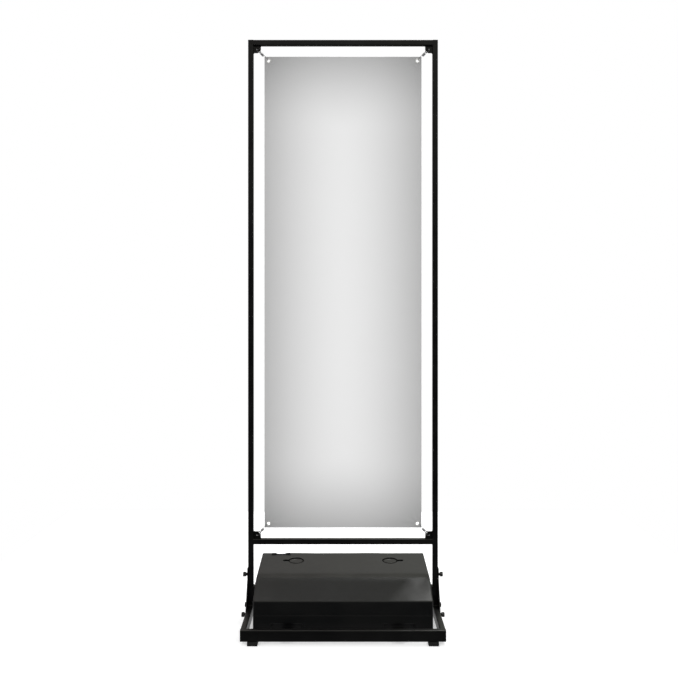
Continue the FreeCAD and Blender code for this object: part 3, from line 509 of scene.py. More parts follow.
def make_banner():
    """Coated cloth 0.6 mm thick with a welded hem 26 mm wide.
    Depth = slow waves + pull folds that fan out from each eyelet, a cos(9 angle) e^(-d / 70 mm).
    Cells near an eyelet's middle are left out, and the gap's rim is moved on to a circle."""
    half = BANNER_WIDTH / 2
    x = graded_lines(-half, half, 40.0, 2.0, 10.0)
    z = graded_lines(BANNER_BOTTOM, BANNER_BOTTOM + BANNER_HEIGHT, 40.0, 2.0, 15.0)
    grid_x, grid_z = np.meshgrid(x, z, indexing="ij")
    columns, rows = grid_x.shape
    index = np.arange(columns * rows).reshape(columns, rows)
    quads = np.stack([index[:-1, :-1], index[1:, :-1], index[1:, 1:], index[:-1, 1:]], axis=-1).reshape(-1, 4)
    flat = np.stack([grid_x.ravel(), grid_z.ravel()], axis=-1)
    middles = flat[quads].mean(axis=1)
    eyelets = np.array([eyelet_middle(corner) for corner in CORNERS])
    distance = np.linalg.norm(middles[:, None] - eyelets[None], axis=2).min(axis=1)
    quads = quads[distance > EYELET_CUT]

    edges = np.concatenate([quads[:, [0, 1]], quads[:, [1, 2]], quads[:, [2, 3]], quads[:, [3, 0]]])
    _, first, times = np.unique(np.sort(edges, axis=1), axis=0, return_index=True, return_counts=True)
    rim = edges[first[times == 1]]
    away = flat[:, None] - eyelets[None]
    reach = np.linalg.norm(away, axis=2)
    nearest = reach.argmin(axis=1)
    on_rim = np.zeros(len(flat), dtype=bool)
    on_rim[rim.ravel()] = True
    hole = on_rim & (reach.min(axis=1) < 12.0)
    pick = np.flatnonzero(hole)
    outward = unit(away[pick, nearest[pick]])
    flat[pick] = eyelets[nearest[pick]] + outward * EYELET_CUT

    edge_x = half - np.abs(flat[:, 0])
    edge_z = BANNER_HEIGHT / 2 - np.abs(flat[:, 1] - BANNER_BOTTOM - BANNER_HEIGHT / 2)
    edge = np.minimum(edge_x, edge_z)
    hem = 1.0 - smooth_step(edge, 25.0, 27.0)
    lip = 1.0 - smooth_step(np.abs(edge - 1.0), 0.0, 1.4)
    thick = 0.3 + 0.14 * hem - 0.1 * lip
    depth = 0.5 * np.sin(flat[:, 0] / 95.0 + 0.6) * np.sin(flat[:, 1] / 260.0)
    depth = depth + 0.25 * np.sin(flat[:, 0] / 41.0 + flat[:, 1] / 330.0)
    for number, eyelet in enumerate(eyelets):
        way = flat - eyelet
        far = np.linalg.norm(way, axis=1)
        angle = np.arctan2(way[:, 1], way[:, 0])
        grow = smooth_step(far, 11.0, 30.0)
        depth = depth * smooth_step(far, 8.0, 60.0)
        depth = depth + 0.75 * grow * np.exp(-far / 70.0) * np.cos(9.0 * angle + number)
    front = np.stack([flat[:, 0], depth - thick, flat[:, 1]], axis=-1)
    back = np.stack([flat[:, 0], depth + thick, flat[:, 1]], axis=-1)
    count = len(front)
    walls = np.stack([rim[:, 1], rim[:, 0], rim[:, 0] + count, rim[:, 1] + count], axis=-1)
    faces = np.concatenate([quads, quads[:, ::-1] + count, walls])
    used = np.unique(faces)
    renumber = np.zeros(2 * count, dtype=int)
    renumber[used] = np.arange(len(used))
    points = np.concatenate([front, back])[used]
    banner = add_piece("banner_cloth", [(points, [renumber[faces]])], "stand", "banner_sheet", ["banner"],
                       60, BANNER_FRONT)
    mesh = banner.data
    mesh.materials.append(BANNER_BACK)
    is_back = np.zeros(len(faces), dtype=np.int32)
    is_back[len(quads):2 * len(quads)] = 1
    mesh.polygons.foreach_set("material_index", is_back)
    loops = np.empty(len(mesh.loops), dtype=np.int32)
    mesh.loops.foreach_get("vertex_index", loops)
    u = points[loops, 0] / BANNER_WIDTH + 0.5
    v = (points[loops, 2] - BANNER_BOTTOM) / BANNER_HEIGHT
    layer = mesh.uv_layers.new(name="UVMap")
    layer.data.foreach_set("uv", np.stack([u, v], axis=-1).ravel().astype(np.float32))
    return banner


def make_eyelets():
    """Pressed eyelets: a closed outline of rolled front rim, barrel and flatter rear washer, turned."""
    outline = rounded_line(
        [(6.0, -0.9), (7.0, -1.2), (9.4, -1.05), (10.0, -0.62), (9.8, -0.46), (6.9, -0.46),
         (6.9, 0.46), (9.8, 0.46), (10.0, 0.62), (9.4, 0.95), (7.0, 1.1), (6.0, 0.9)],
        [0.3, 0.5, 0.35, 0.07, 0.05, 0.2, 0.2, 0.05, 0.07, 0.25, 0.4, 0.3], 4, [2] * 12, True)
    parts = []
    for corner in CORNERS:
        x, z = eyelet_middle(corner)
        parts.append(skin(placed(turned(outline, 72), (x, 0.0, z), (0.0, 1.0, 0.0)), closed=True))
    return add_piece("banner_eyelets", parts, "stand", "eyelet_metal", ["eyelets"], 40)


banner = make_banner()
eyelets = make_eyelets()


# Springs and hook rings


def spring_frame(corner):
    """Start at the bracket's hole, the way to the eyelet, the hooks' side and the third direction."""
    side, level = CORNERS[corner]
    bar_face = TOP_BAR_BOTTOM if level > 0 else CROSS_BAR_BOTTOM + TUBE
    start = np.array([side * (FRAME_INNER - HOOK_HOLE_INSET), 0.0, bar_face - level * HOOK_HOLE_INSET])
    x, z = eyelet_middle(corner)
    end = np.array([x, 0.0, z])
    along = unit(end - start)
    upward = np.cross(along, [0.0, 1.0, 0.0])
    upward = upward * np.sign(upward[2])
    hook_side = (upward - np.array([0.0, 1.0, 0.0])) / math.sqrt(2)
    return start, along, hook_side, np.cross(along, hook_side), np.linalg.norm(end - start)


def spring_line(distance):
    """Middle line of the wire in the spring's own directions: a half-round hook, a coil of radius 4
    that climbs 2 a turn and is drawn out at each end by 1.9 e^(-5 n), n being the turns from that end,
    and a second hook."""
    radius, pitch, ease = 4.0, 2.0, 1.9
    first = RING_OFFSET + 2 * RING_RADIUS - RING_WIRE / 2 - SPRING_WIRE / 2 - 0.25 + radius
    last = distance - 4.3 - radius
    coil_start = first + 1.0
    room = distance - EYELET_INSET * math.sqrt(2) - 1.5 - coil_start - 2 * ease
    turns = int(room / pitch)
    coil_end = coil_start + 2 * ease + turns * pitch

    def hook(middle, start):
        angle = np.linspace(start, start + math.pi, 40)
        return np.stack([middle + radius * np.cos(angle), radius * np.sin(angle), 0 * angle], axis=-1)

    tip = np.array([[first + 1.0, radius, 0.0]])
    near = hook(first, math.pi / 2)
    climb = np.linspace(0.0, 1.0, 40 * turns)
    angle = math.pi + TAU * turns * climb
    lead = ease * (np.exp(-climb * turns * 5.0) - np.exp(-(1 - climb) * turns * 5.0))
    coil_x = coil_start + ease + climb * turns * pitch - lead
    coil = np.stack([coil_x, radius * np.cos(angle), radius * np.sin(angle)], axis=-1)
    leg = np.array([[coil_end, -radius, 0.0]])
    far = hook(last, -math.pi / 2)
    end = np.array([[last - 4.5, radius, 0.0]])
    return even_steps(np.concatenate([tip, near, coil, leg, far, end]), 0.42)


def make_springs():
    """Springs and the rings that they hook into, as round wire along their middle lines, and the
    plastic bushes that line the brackets' holes, turned from a closed outline."""
    rings = []
    bushes = []
    inner, fit, outer = HOOK_HOLE_RADIUS - 1.3, HOOK_HOLE_RADIUS - 0.02, HOOK_HOLE_RADIUS + 0.9
    lining = rounded_line([(inner, -1.5), (outer, -1.5), (outer, -1.02), (fit, -1.02),
                           (fit, 1.02), (outer, 1.02), (outer, 1.5), (inner, 1.5)],
                          [0.4, 0.2, 0.05, 0.05, 0.05, 0.05, 0.2, 0.4], 4, [2] * 8, True)
    for corner in CORNERS:
        start, along, hook_side, third, distance = spring_frame(corner)
        line = spring_line(distance)
        path = start + line[:, :1] * along - line[:, 1:2] * hook_side - line[:, 2:] * third
        add_piece("tension_spring_" + corner, [skin(swept(path, SPRING_WIRE / 2, 14))], "stand",
                  "spring_steel", ["spring_" + corner], 60)
        turn = np.linspace(0.0, TAU, 96, endpoint=False)
        spoke = np.cos(turn)[:, None] * along + np.sin(turn)[:, None] * third
        middle = start + along * (RING_OFFSET + RING_RADIUS)
        rings.append(skin(swept(middle + RING_RADIUS * spoke, RING_WIRE / 2, 20, True), closed=True))
        bushes.append(skin(placed(turned(lining, 40), start, (0.0, 1.0, 0.0)), closed=True))
    add_piece("wire_hook_rings", rings, "stand", "spring_steel", ["hook_rings"], 60, RING_STEEL)
    add_piece("hook_hole_bushes", bushes, "stand", "plug_plastic")


make_springs()


# Tank


def top_height(y):
    """Height of the tank's sloping top at a depth."""
    slope = (TANK_REAR_TOP - TANK_FOLD_Z) / (TANK_DEPTH - TANK_FOLD_Y)
    return TANK_FOLD_Z + (y - TANK_FOLD_Y) * slope


def tank_outlines():
    """The tank's section from side to side, as four outlines that match point by point: plain, through
    a grip under the front edge, through the scoop's middle at the rear left, and through its rear lip."""
    front, rear, floor = -TANK_DEPTH, TANK_DEPTH, TANK_FLOOR
    scoop_y, scoop_floor, lip_y = 143.0, 188.5, rear - 7.0
    grip_y, grip_top = front + 14.0, floor + 26.0
    base = [(rear, floor), (grip_y, floor), (front, floor), (front, grip_top), (front, TANK_SEAM - 1.0),
            (front - SEAM_RISE, TANK_SEAM), (front, TANK_SEAM + 1.0), (front, TANK_FRONT_TOP),
            (TANK_FOLD_Y, TANK_FOLD_Z)]
    base += [(y, top_height(y)) for y in (scoop_y, scoop_y + 1.5, lip_y - 1.0, lip_y)]
    base += [(rear, TANK_REAR_TOP), (rear, scoop_floor - 6.0), (rear, TANK_SEAM + 1.0),
             (rear + SEAM_RISE, TANK_SEAM), (rear, TANK_SEAM - 1.0)]
    reach = [6.0, 2.0, 6.0, 2.0, 0.3, 0.3, 0.3, 4.0, 5.0, 0.6, 0.2, 0.2, 0.2, 6.0, 0.5, 0.3, 0.3, 0.3]
    runs = [20, 2, 3, 5, 1, 1, 9, 22, 74, 4, 12, 3, 2, 3, 14, 1, 1, 9]
    grip = list(base)
    grip[2] = (grip_y, grip_top)
    grip_reach = list(reach)
    grip_reach[1:4] = [2.5, 5.0, 2.5]
    scoop = list(base)
    rim = scoop_floor + 3.0
    scoop[10:14] = [(scoop_y, scoop_floor), (lip_y - 1.0, scoop_floor), (lip_y, rim), (rear, rim)]
    scoop_reach = list(reach)
    scoop_reach[9:14] = [0.8, 2.0, 0.8, 0.8, 2.0]
    lip = list(scoop)
    lip[11:14] = [(lip_y, scoop_floor), (lip_y + 0.6, top_height(lip_y)), (rear, TANK_REAR_TOP)]
    lip_reach = list(scoop_reach)
    lip_reach[11:14] = [1.6, 1.0, 3.0]
    pairs = ((base, reach), (grip, grip_reach), (scoop, scoop_reach), (lip, lip_reach))
    return [rounded_line(corners, reaches, 6, runs, True) for corners, reaches in pairs]


def tank_wave(x, y, z):
    """Slow unevenness of the blown shell, 0.35 times a product of two sines and 0.6 of a third one, with
    waves 120 to 380 long, which dies out towards the tank's ends."""
    wave = np.sin(x / 47.0 + y / 60.0) * np.sin(y / 38.0 + z / 31.0)
    wave = wave + 0.6 * np.sin(x / 23.0 - z / 19.0 + 1.0)
    return 0.35 * wave * (1.0 - smooth_step(np.abs(x), 290.0, 316.0))


def tank_stations():
    """Places along the tank: closer together at the pockets' walls and round the wells."""
    near_wall = np.linspace(-3.0, 3.0, 7)
    half = [np.linspace(0.0, 140.0, 29), np.linspace(PATCH_INNER, PATCH_OUTER, 39),
            np.linspace(248.0, 318.0, 21), GRIP_X - GRIP_HALF + near_wall, GRIP_X + GRIP_HALF + near_wall]
    scoop = [SCOOP_X - SCOOP_HALF + near_wall, SCOOP_X + SCOOP_HALF + near_wall,
             np.linspace(-275.0, -262.0, 9), np.linspace(-237.0, -224.0, 9)]
    both = np.unique(np.round(np.concatenate([*half, *(-mark for mark in half), *scoop]), 2))
    keep = np.concatenate([[True], np.diff(both) > 0.6])
    return both[keep | np.isin(np.abs(both), (PATCH_INNER, PATCH_OUTER))]


def well_outline(count):
    """Plan outline of a cap's well about the cap's middle: a circle with a finger notch along +x,
    softened a little and divided into equal steps from the notch's end."""
    start = math.asin(NOTCH_HALF / WELL_RADIUS)
    arc = WELL_RADIUS * circle(np.linspace(start, TAU - start, 400))
    end = rounded_line([arc[-1], (NOTCH_REACH, -NOTCH_HALF), (NOTCH_REACH, NOTCH_HALF), arc[0]],
                       [0.0, 6.8, 6.8, 0.0], 24, [40, 6, 40], False)
    loop = np.concatenate([end[:-1], arc])
    first = np.argmin(np.hypot(loop[:, 0] - NOTCH_REACH, loop[:, 1]))
    loop = np.roll(loop, -first, axis=0)
    fine = 2400
    dense = divided(np.concatenate([loop, loop[:1]]), fine)[:-1]
    soft = sum(np.roll(dense, shift, axis=0) for shift in range(-10, 11)) / 21.0
    pick = np.round(np.linspace(0, fine, count, endpoint=False)).astype(int)
    plan = soft[pick]
    way = np.roll(soft, -1, axis=0) - np.roll(soft, 1, axis=0)
    normal = unit(np.stack([way[:, 1], -way[:, 0]], axis=-1))[pick]
    return plan, normal * np.sign(np.sum(normal * plan, axis=1))[:, None]


def well_rings(border):
    """Rings from a border on the slope in to the well: over its rounded edge, down its wall, across its
    floor, up the threaded neck and down the neck's bore. Border and rings are about the cap's middle.
    The thread is a ridge of 0.9 (max(cos, 0))^1.5 that climbs 4 a turn."""
    count = len(border)
    plan, normal = well_outline(count)

    def slope(flat):
        y = flat[:, 1] + CAP_Y
        height = top_height(y)
        return height + tank_wave(flat[:, 0] + CAP_X, y, height)

    def floor_at(flat):
        in_notch = smooth_step(np.hypot(flat[:, 0], flat[:, 1]), 29.6, 31.6)
        return CAP_SEAT + (NOTCH_FLOOR - CAP_SEAT) * in_notch

    rings = []
    for share in (0.35, 0.65, 0.85, 0.94):
        flat = border + (plan + normal - border) * share
        rings.append(at_height(flat, slope(flat)))
    for out, down in ((1.0, 0.0), (0.62, 0.08), (0.29, 0.29), (0.08, 0.62), (0.0, 1.0)):
        rings.append(at_height(plan + normal * out, slope(plan) - down))
    floor = floor_at(plan)
    for share in (0.3, 0.65, 1.0):
        height = (slope(plan) - 1.0) * (1 - share) + (floor + 1.4) * share
        rings.append(at_height(plan - normal * 0.2 * share, height))
    for inward, rise in ((0.3, 0.7), (0.7, 0.25), (1.5, 0.0)):
        rings.append(at_height(plan - normal * inward, floor + rise))
    turn = np.linspace(0.0, TAU, count, endpoint=False)
    spoke = circle(turn)
    edge = plan - normal * 1.5
    for share in np.linspace(0.0, 1.0, 14)[1:]:
        flat = edge + (spoke * (NECK_RADIUS + 0.3) - edge) * share
        rings.append(at_height(flat, floor_at(flat)))
    root = NECK_RADIUS - 0.9
    rings.append(at_height(spoke * (root + 0.3), CAP_SEAT + 0.25))
    for height in np.linspace(CAP_SEAT + 0.6, NECK_TOP - 0.5, 14):
        phase = (height - CAP_SEAT) / 4.0 - turn / TAU
        ridge = 0.9 * np.maximum(np.cos(TAU * phase), 0.0) ** 1.5
        fade = 1.0 - smooth_step(height, NECK_TOP - 1.3, NECK_TOP - 0.6)
        rings.append(at_height(spoke * (root + ridge * fade)[:, None], height))
    for radius, height in ((root - 0.15, NECK_TOP - 0.15), (root - 0.5, NECK_TOP),
                           (NECK_BORE + 0.5, NECK_TOP), (NECK_BORE + 0.15, NECK_TOP - 0.15),
                           (NECK_BORE, NECK_TOP - 0.5), (NECK_BORE, 172.0), (NECK_BORE, 160.0), (0.4, 160.0)):
        rings.append(at_height(spoke * radius, height))
    return np.stack(rings)


def at_stations(x, sections):
    """Sections of (y, z) set at places along the tank."""
    return np.concatenate([np.broadcast_to(x[:, None, None], sections.shape[:2] + (1,)), sections], axis=2)


def tank_ends(plain, outward):
    """Rings that close the shell's two ends, from the last section out: round the edge by a circle, then
    flat in towards the middle, with the seam standing up."""
    bend = np.radians(np.linspace(0.0, 84.0, 8))[1:]
    inset = END_RADIUS * (1.0 - np.cos(bend))
    edge = plain[None] - inset[:, None, None] * outward[None]
    shares = np.linspace(1.0, 0.05, 9)[1:]
    centre = np.array([0.0, TANK_SEAM])
    face = centre + (edge[-1] - centre)[None] * shares[:, None, None]
    on_seam = np.abs(plain[:, 1] - TANK_SEAM) < 0.6
    ends = []
    for side in (-1, 1):
        reach = side * (TANK_HALF - END_RADIUS + END_RADIUS * np.sin(bend))
        where = np.concatenate([reach, np.full(len(shares), side * TANK_HALF)])
        shell = at_stations(where, np.concatenate([edge, face]))
        shell[len(edge):, on_seam, 0] += side * SEAM_RISE
        ends.append(shell)
    return ends


def well_patch(points, loop, side, first):
    """New points, numbered from first, and faces of a well that is let into the top inside a loop."""
    spot = points[loop]
    flat = well_rings(np.stack([side * spot[:, 0] - CAP_X, spot[:, 1] - CAP_Y], axis=-1)).reshape(-1, 3)
    moved = np.stack([side * (flat[:, 0] + CAP_X), flat[:, 1] + CAP_Y, flat[:, 2]], axis=-1)
    index = np.concatenate([loop, first + np.arange(len(flat))]).reshape(-1, len(loop))
    after = np.roll(index, -1, axis=1)
    walls = np.stack([index[:-1], after[:-1], after[1:], index[1:]], axis=-1).reshape(-1, 4)
    return moved, [walls, index[-1:]]


def make_tank():
    """Blow-moulded tank: the section carried from side to side, blended into the pockets' sections by
    smooth steps across their walls, waved, rounded at its ends, with the wells let into its top."""
    plain, grip, scoop, lip = tank_outlines()
    x = tank_stations()
    in_grip = smooth_step(GRIP_HALF - np.abs(np.abs(x) - GRIP_X), -1.0, 1.0)[:, None, None]
    off_scoop = np.abs(x - SCOOP_X)
    in_scoop = smooth_step(SCOOP_HALF - off_scoop, -2.0, 2.0)[:, None, None]
    on_lip = smooth_step(off_scoop, 13.0, 24.0)[:, None, None]
    section = plain + in_grip * (grip - plain) + in_scoop * (scoop + on_lip * (lip - scoop) - plain)
    body = at_stations(x, section)
    chord = np.roll(plain, -1, axis=0) - np.roll(plain, 1, axis=0)
    outward = unit(np.stack([chord[:, 1], -chord[:, 0]], axis=-1))
    if np.sum(outward * (plain - plain.mean(axis=0))) < 0:
        outward = -outward
    body[..., 1:] += tank_wave(body[..., 0], body[..., 1], body[..., 2])[..., None] * outward[None]
    left, right = tank_ends(plain, outward)
    points, (fours, *poles) = skin(np.concatenate([left[::-1], body, right]))

    around = len(plain)
    middles = points[fours].mean(axis=1)
    top = np.flatnonzero((plain[:, 1] > 170.0) & (np.abs(plain[:, 0]) < 140.0))
    low = top[np.argmin(np.abs(plain[top, 0] - CAP_Y + PATCH_HALF))]
    high = top[np.argmin(np.abs(plain[top, 0] - CAP_Y - PATCH_HALF))]
    count = len(points)
    all_points = [points]
    patches = []
    for side in SIDES.values():
        inner = len(left) + np.argmin(np.abs(x - side * PATCH_INNER))
        outer = len(left) + np.argmin(np.abs(x - side * PATCH_OUTER))
        across = np.arange(min(inner, outer), max(inner, outer) + 1)[::side]
        along = np.arange(low, high + 1)
        middle = along[np.argmin(np.abs(plain[along, 0] - CAP_Y))]
        up = along[along >= middle]
        down = along[along < middle]
        loop = np.concatenate([across[-1] * around + up[:-1], across[::-1] * around + high,
                               across[0] * around + along[::-1][1:-1], across * around + low,
                               across[-1] * around + down[1:]])
        moved, faces = well_patch(points, loop, side, count)
        all_points.append(moved)
        patches += faces
        count += len(moved)
        box = (side * middles[:, 0] > PATCH_INNER) & (side * middles[:, 0] < PATCH_OUTER)
        box &= (middles[:, 1] > plain[low, 0]) & (middles[:, 1] < plain[high, 0]) & (middles[:, 2] > 150.0)
        fours = fours[~box]
        middles = middles[~box]
    add_piece("ballast_tank", [(np.concatenate(all_points), [fours, *poles, *patches])], "tank",
              "tank_plastic", ["tank_shell"], 50)


def make_caps():
    """Screw caps: a turned outline with a sunk middle on top, thirty ribs, cos(30 angle), on the skirt."""
    high = CAP_SEAT + 10.0
    corners = [(0.4, high - 0.9), (16.6, high - 0.9), (17.6, high - 0.1), (26.4, high), (26.4, CAP_SEAT),
               (22.5, CAP_SEAT), (22.5, CAP_SEAT + 7.0), (0.4, CAP_SEAT + 7.0)]
    reach = [0.0, 0.5, 0.5, 1.4, 0.5, 0.4, 0.6, 0.0]
    outline = rounded_line(corners, reach, 5, [8, 2, 6, 8, 3, 5, 5, 1], False)

    def ribs(angle, radius, height):
        groove = (0.5 - 0.5 * np.cos(30.0 * angle)) ** 0.7
        fade = smooth_step(radius, 25.0, 26.2) * (1.0 - 0.7 * smooth_step(height, high - 1.6, high - 0.2))
        return -0.95 * groove * fade

    for name, side in SIDES.items():
        rings = turned(outline, 300, ribs) + np.array([side * CAP_X, CAP_Y, 0.0])
        add_moving("ribbed_cap_" + name, "tank_cap_" + name, rings, "cap_plastic", 40)


make_tank()
make_caps()


# Knobs, feet and their studs


def threaded(radius, length, pitch, chamfer):
    """A screw thread as a height field: radius less a rounded V of depth 0.6 of the pitch, which runs
    once round in one pitch of height, with both ends tapered and eight rows of points a pitch."""
    rows = int(length / pitch * 8)
    height = np.linspace(0.0, length, rows + 1)[:, None]
    outline = np.concatenate([np.full_like(height, radius), height], axis=1)

    def cut(angle, _, high):
        phase = (high / pitch - angle / TAU) % 1.0
        valley = 1.0 - np.abs(2.0 * phase - 1.0)
        depth = 0.6 * pitch * smooth_step(valley, 0.12, 0.92)
        taper = np.maximum(chamfer - np.minimum(high, length - high), 0.0)
        return -np.maximum(depth, taper)

    return turned(outline, 40, cut)


def make_knobs():
    """Hand knobs: a turned collar and head, with eight flutes in the head and a dished end."""
    corners = [(0.3, 15.9), (4.6, 16.0), (6.2, 16.5), (9.0, 16.5), (9.0, 5.5), (5.5, 5.3), (5.5, 0.0),
               (4.15, 0.0), (4.15, 13.6), (0.3, 13.6)]
    reach = [0.0, 0.7, 0.7, 1.6, 0.9, 0.6, 0.4, 0.2, 0.2, 0.0]
    outline = rounded_line(corners, reach, 5, [5, 2, 4, 10, 4, 5, 2, 8, 3, 1], False)

    def flutes(angle, radius, height):
        lobe = (0.5 + 0.5 * np.cos(8.0 * angle)) ** 2.2
        return -1.45 * lobe * smooth_step(radius, 6.2, 8.6)

    for side_name, side in SIDES.items():
        for place_name, (y, z) in KNOB_PLACES.items():
            name = side_name + "_" + place_name
            axis = (float(side), 0.0, 0.0)
            knob = placed(turned(outline, 128, flutes), (side * KNOB_X, y, z), axis)
            add_moving("hand_knob_" + name, "knob_" + name, knob, "knob_plastic", 40)
            stud = placed(threaded(4.0, 31.5, 1.25, 1.0), (side * (KNOB_X - 18.0), y, z), axis)
            add_moving("threaded_stud_" + name, "knob_stud_" + name, stud, "zinc_steel", 50)


def pad_plan():
    """Plan of a square foot pad with rounded corners and four upright grooves on each side."""
    half, depth = 18.5, 1.5
    corners = [(half, -half), (half, half), (-half, half), (-half, -half)]
    plan = rounded_line(corners, 4.0, 6, [58] * 4, True)
    along = np.where(np.abs(plan[:, 0]) > half - 0.01, plan[:, 1], plan[:, 0])
    on_side = np.max(np.abs(plan), axis=1) > half - 0.01
    spots = 7.4 * (np.arange(4) - 1.5)
    near = np.abs(along[:, None] - spots[None]).min(axis=1)
    cut = np.sqrt(np.maximum(depth * depth - near * near, 0.0)) * on_side
    face = np.where(np.abs(plan) > half - 0.01, np.sign(plan), 0.0)
    return plan - face * cut[:, None]


def make_feet():
    """Screw feet: a square pad with rounded rims and a round hub, and a threaded stud."""
    plan = pad_plan()
    spoke = circle(np.arctan2(plan[:, 1], plan[:, 0]))
    square = ((0.03, 0.5), (0.45, 0.5), (0.82, 0.5), (0.86, 0.0), (0.946, 0.0), (0.973, 0.14), (0.993, 0.5),
              (1.0, 1.0), (1.0, 3.6), (1.0, 6.2), (1.0, 8.8), (1.0, 11.0), (0.993, 11.5), (0.973, 11.86),
              (0.946, 12.0), (0.8, 12.0))
    hub = ((12.0, 12.0), (9.4, 12.0), (5.6, 12.0), (5.2, 11.7), (5.15, 2.85), (0.3, 2.85))
    pad = np.stack([at_height(plan * scale, height) for scale, height in square]
                   + [at_height(spoke * radius, height) for radius, height in hub])
    for end_name, depth in ENDS.items():
        for side_name, side in SIDES.items():
            name = end_name + "_" + side_name
            place = np.array([side * FOOT_X, depth * FOOT_Y, 0.0])
            add_moving("foot_" + name, "foot_pad_" + name, pad + place, "foot_plastic", 40)
            stud = threaded(5.0, 30.6, 1.5, 0.8) + place + np.array([0.0, 0.0, 3.0])
            add_moving("foot_screw_" + name, "foot_stud_" + name, stud, "zinc_steel", 50)


make_knobs()
make_feet()


# Weld seams


def weld_runs():
    """Each weld seam as its two ends and its bead's radius: bars on posts, cross rails and tank supports on
    rails, then sockets and gussets on the side rails."""
    runs = []
    for side in SIDES.values():
        inner = side * FRAME_INNER
        outer = side * 362.4
        for bottom in (CROSS_BAR_BOTTOM, TOP_BAR_BOTTOM):
            for face in (-1, 1):
                x, y = inner + side * 0.6, face * 9.1
                runs.append(((x, y, bottom + 1.5), (x, y, bottom + TUBE - 1.5), 1.25))
        runs.append(((inner, -8.5, CROSS_BAR_BOTTOM), (inner, 8.5, CROSS_BAR_BOTTOM), 1.6))
        for end in (-1, 1):
            y = end * 230.0
            for x in (inner, side * 362.0):
                runs.append(((x, y, 14.5), (x, y, 49.5), 1.7 if x == inner else 1.2))
            runs.append(((inner + side * 1.5, y - end * 0.3, 51.2), (side * 360.5, y - end * 0.3, 51.2), 1.3))
            support = side * 200.0
            runs.append(((support - 19.0, y, 20.0), (support + 19.0, y, 20.0), 1.5))
            runs.append(((side * 339.0, end * 13.3, 52.2), (side * 361.5, end * 13.3, 52.2), 1.5))
            runs.append(((outer, end * 62.0, 49.4), (outer, end * 16.0, 49.4), 1.3))
            runs.append(((outer, end * 13.3, 53.0), (outer, end * 13.3, 122.0), 1.2))
        face = side * 338.7
        runs.append(((face, -12.5, 52.2), (face, 12.5, 52.2), 1.4))
    return runs


def make_welds():
    """Weld beads: a round bead along each seam whose radius ripples by a sawtooth of 1.5 mm."""
    parts = []
    for number, (start, end, radius) in enumerate(weld_runs()):
        path = even_steps(np.array([start, end], dtype=float), 0.5)
        length = np.linspace(0.0, 1.0, len(path)) * np.linalg.norm(np.subtract(end, start))
        ripple = (length / 1.5 + 0.13 * np.sin(length * 1.7 + number)) % 1.0
        taper = np.sqrt(np.clip(np.minimum(length, length[-1] - length) / radius, 0.04, 1.0))
        size = radius * (0.9 + 0.14 * np.sqrt(ripple)) * taper
        parts.append(skin(swept(path, size, 12)))
    add_piece("weld_beads", parts, "stand", "powder_coat", sharp=60)


make_welds()


# Floor, world and lamps


def make_floor():
    """Pale floor, 3.2 m square, that keeps the stand's shadow. It lies half a millimetre low, so that the
    top of a pad that is screwed right down isn't level with it. To reflections it is dark in front of
    the stand, as the studio is there, and pale under and behind it."""
    half, level = 1.6, -0.0005
    corners = [(x * half, y * half, level) for x, y in ((-1, -1), (1, -1), (1, 1), (-1, 1))]
    mesh = bpy.data.meshes.new("studio_floor")
    mesh.from_pydata(corners, [], [(0, 1, 2, 3)])
    floor = new_object("studio_floor", mesh)
    pale = Finish("studio_floor", (0.8, 0.8, 0.8), 0.9, 0.0)
    seen = pale.node("ShaderNodeLightPath").outputs
    straight = pale.math("MAXIMUM", seen["Is Camera Ray"], seen["Is Transmission Ray"])
    glow = pale.node("ShaderNodeEmission", Strength=0.45)
    soft = pale.node("ShaderNodeBsdfDiffuse", Color=(0.95, 0.95, 0.95, 1.0))
    both = pale.node("ShaderNodeAddShader")
    pale.put(both, 0, glow.outputs[0])
    pale.put(both, 1, soft.outputs[0])
    depth = pale.split(pale.place())["Y"]
    mirror = pale.node("ShaderNodeEmission", Strength=pale.ramp(depth, -0.34, 0.0, 0.05, 0.6))
    bounced = pale.blend(seen["Is Glossy Ray"], pale.shader, mirror)
    choice = pale.blend(straight, bounced, both)
    pale.put(pale.nodes["Material Output"], "Surface", choice.outputs[0])
    mesh.materials.append(pale.material)


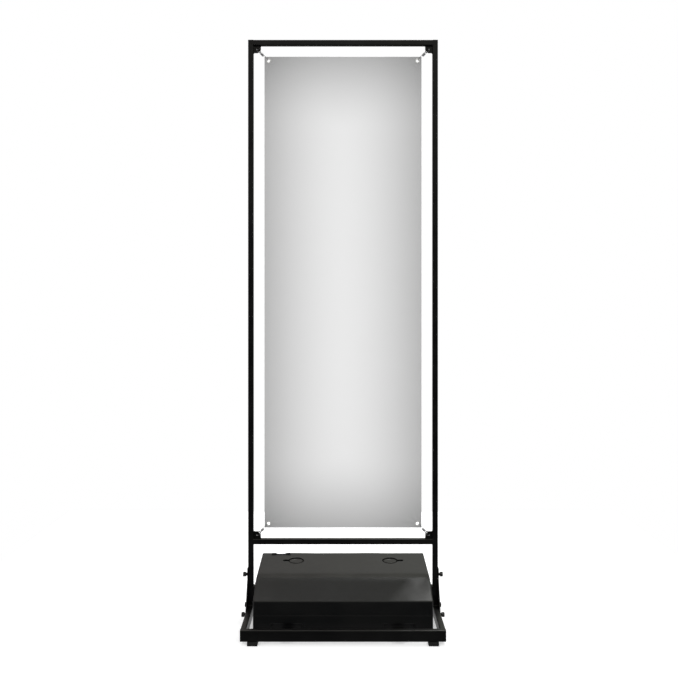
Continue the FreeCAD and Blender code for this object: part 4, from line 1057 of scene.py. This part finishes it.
def make_world():
    """White to the camera, an even soft light on the object, and for reflections a studio that is pale
    behind the stand and overhead and dark in front at eye level, a little warmer at the left."""
    world = bpy.data.worlds.new("studio")
    bpy.context.scene.world = world
    world.use_nodes = True
    sky = NodeTree(world.node_tree)
    calc, ramp = sky.math, sky.ramp
    way = sky.split(sky.place("Generated"))
    across, depth, height = way["X"], way["Y"], way["Z"]
    level = calc("MULTIPLY", ramp(height, 0.27, 0.5, 0.08, 0.55), ramp(across, -0.1, 0.12, 1.3, 0.6))
    behind = calc("MULTIPLY", ramp(depth, 0.1, 0.75), level)
    low_front = calc("MULTIPLY", ramp(height, 0.19, 0.46, 0.01, 0.45), ramp(across, -0.12, 0.12, 0.85, 1.5))
    above = ramp(height, 0.38, 0.85, 0.0, 0.4)
    side = ramp(calc("ABSOLUTE", across), 0.55, 0.95, 0.0, 0.2)
    gloss = calc("MAXIMUM", calc("MAXIMUM", behind, side), calc("ADD", low_front, above))
    seen = sky.node("ShaderNodeLightPath").outputs
    glossy = seen["Is Glossy Ray"]
    white = calc("MAXIMUM", seen["Is Camera Ray"], seen["Is Transmission Ray"])
    plain = calc("MULTIPLY", calc("SUBTRACT", 1.0, glossy), 0.42)
    shine = calc("MULTIPLY", glossy, gloss)
    rest = calc("MULTIPLY", calc("ADD", plain, shine), calc("SUBTRACT", 1.0, white))
    background = sky.nodes["Background"]
    sky.put(background, "Strength", calc("ADD", rest, white))
    tint = sky.mixed(ramp(across, -0.25, 0.25), (1.0, 0.92, 0.89), (0.97, 1.0, 0.86))
    sky.put(background, "Color", sky.mixed(glossy, (1.0, 1.0, 1.0), tint))


def add_lamp(name, place, target, size, power, glossy):
    """A square soft lamp that faces a point."""
    data = bpy.data.lights.new(name, "AREA")
    data.size = size
    data.energy = power
    lamp = new_object(name, data)
    lamp.location = place
    lamp.rotation_euler = (Vector(target) - Vector(place)).to_track_quat("-Z", "Y").to_euler()
    lamp.visible_glossy = glossy
    lamp.visible_camera = False


make_floor()
make_world()
add_lamp("front_left", (-2.4, -3.6, 2.0), (0.0, 0.0, 0.9), 2.4, 83.0, False)
add_lamp("front_right", (2.6, -3.4, 1.9), (0.0, 0.0, 0.9), 2.4, 56.0, False)
add_lamp("overhead", (-0.4, 0.3, 4.2), (0.0, 0.0, 0.6), 2.6, 12.0, True)
add_lamp("behind", (-0.6, 3.6, 1.8), (0.0, 0.0, 0.8), 2.2, 30.0, False)
add_lamp("over_back", (1.15, 1.6, 4.5), (0.15, 0.0, 0.2), 0.8, 80.0, True)
bpy.context.scene.view_settings.view_transform = "Standard"
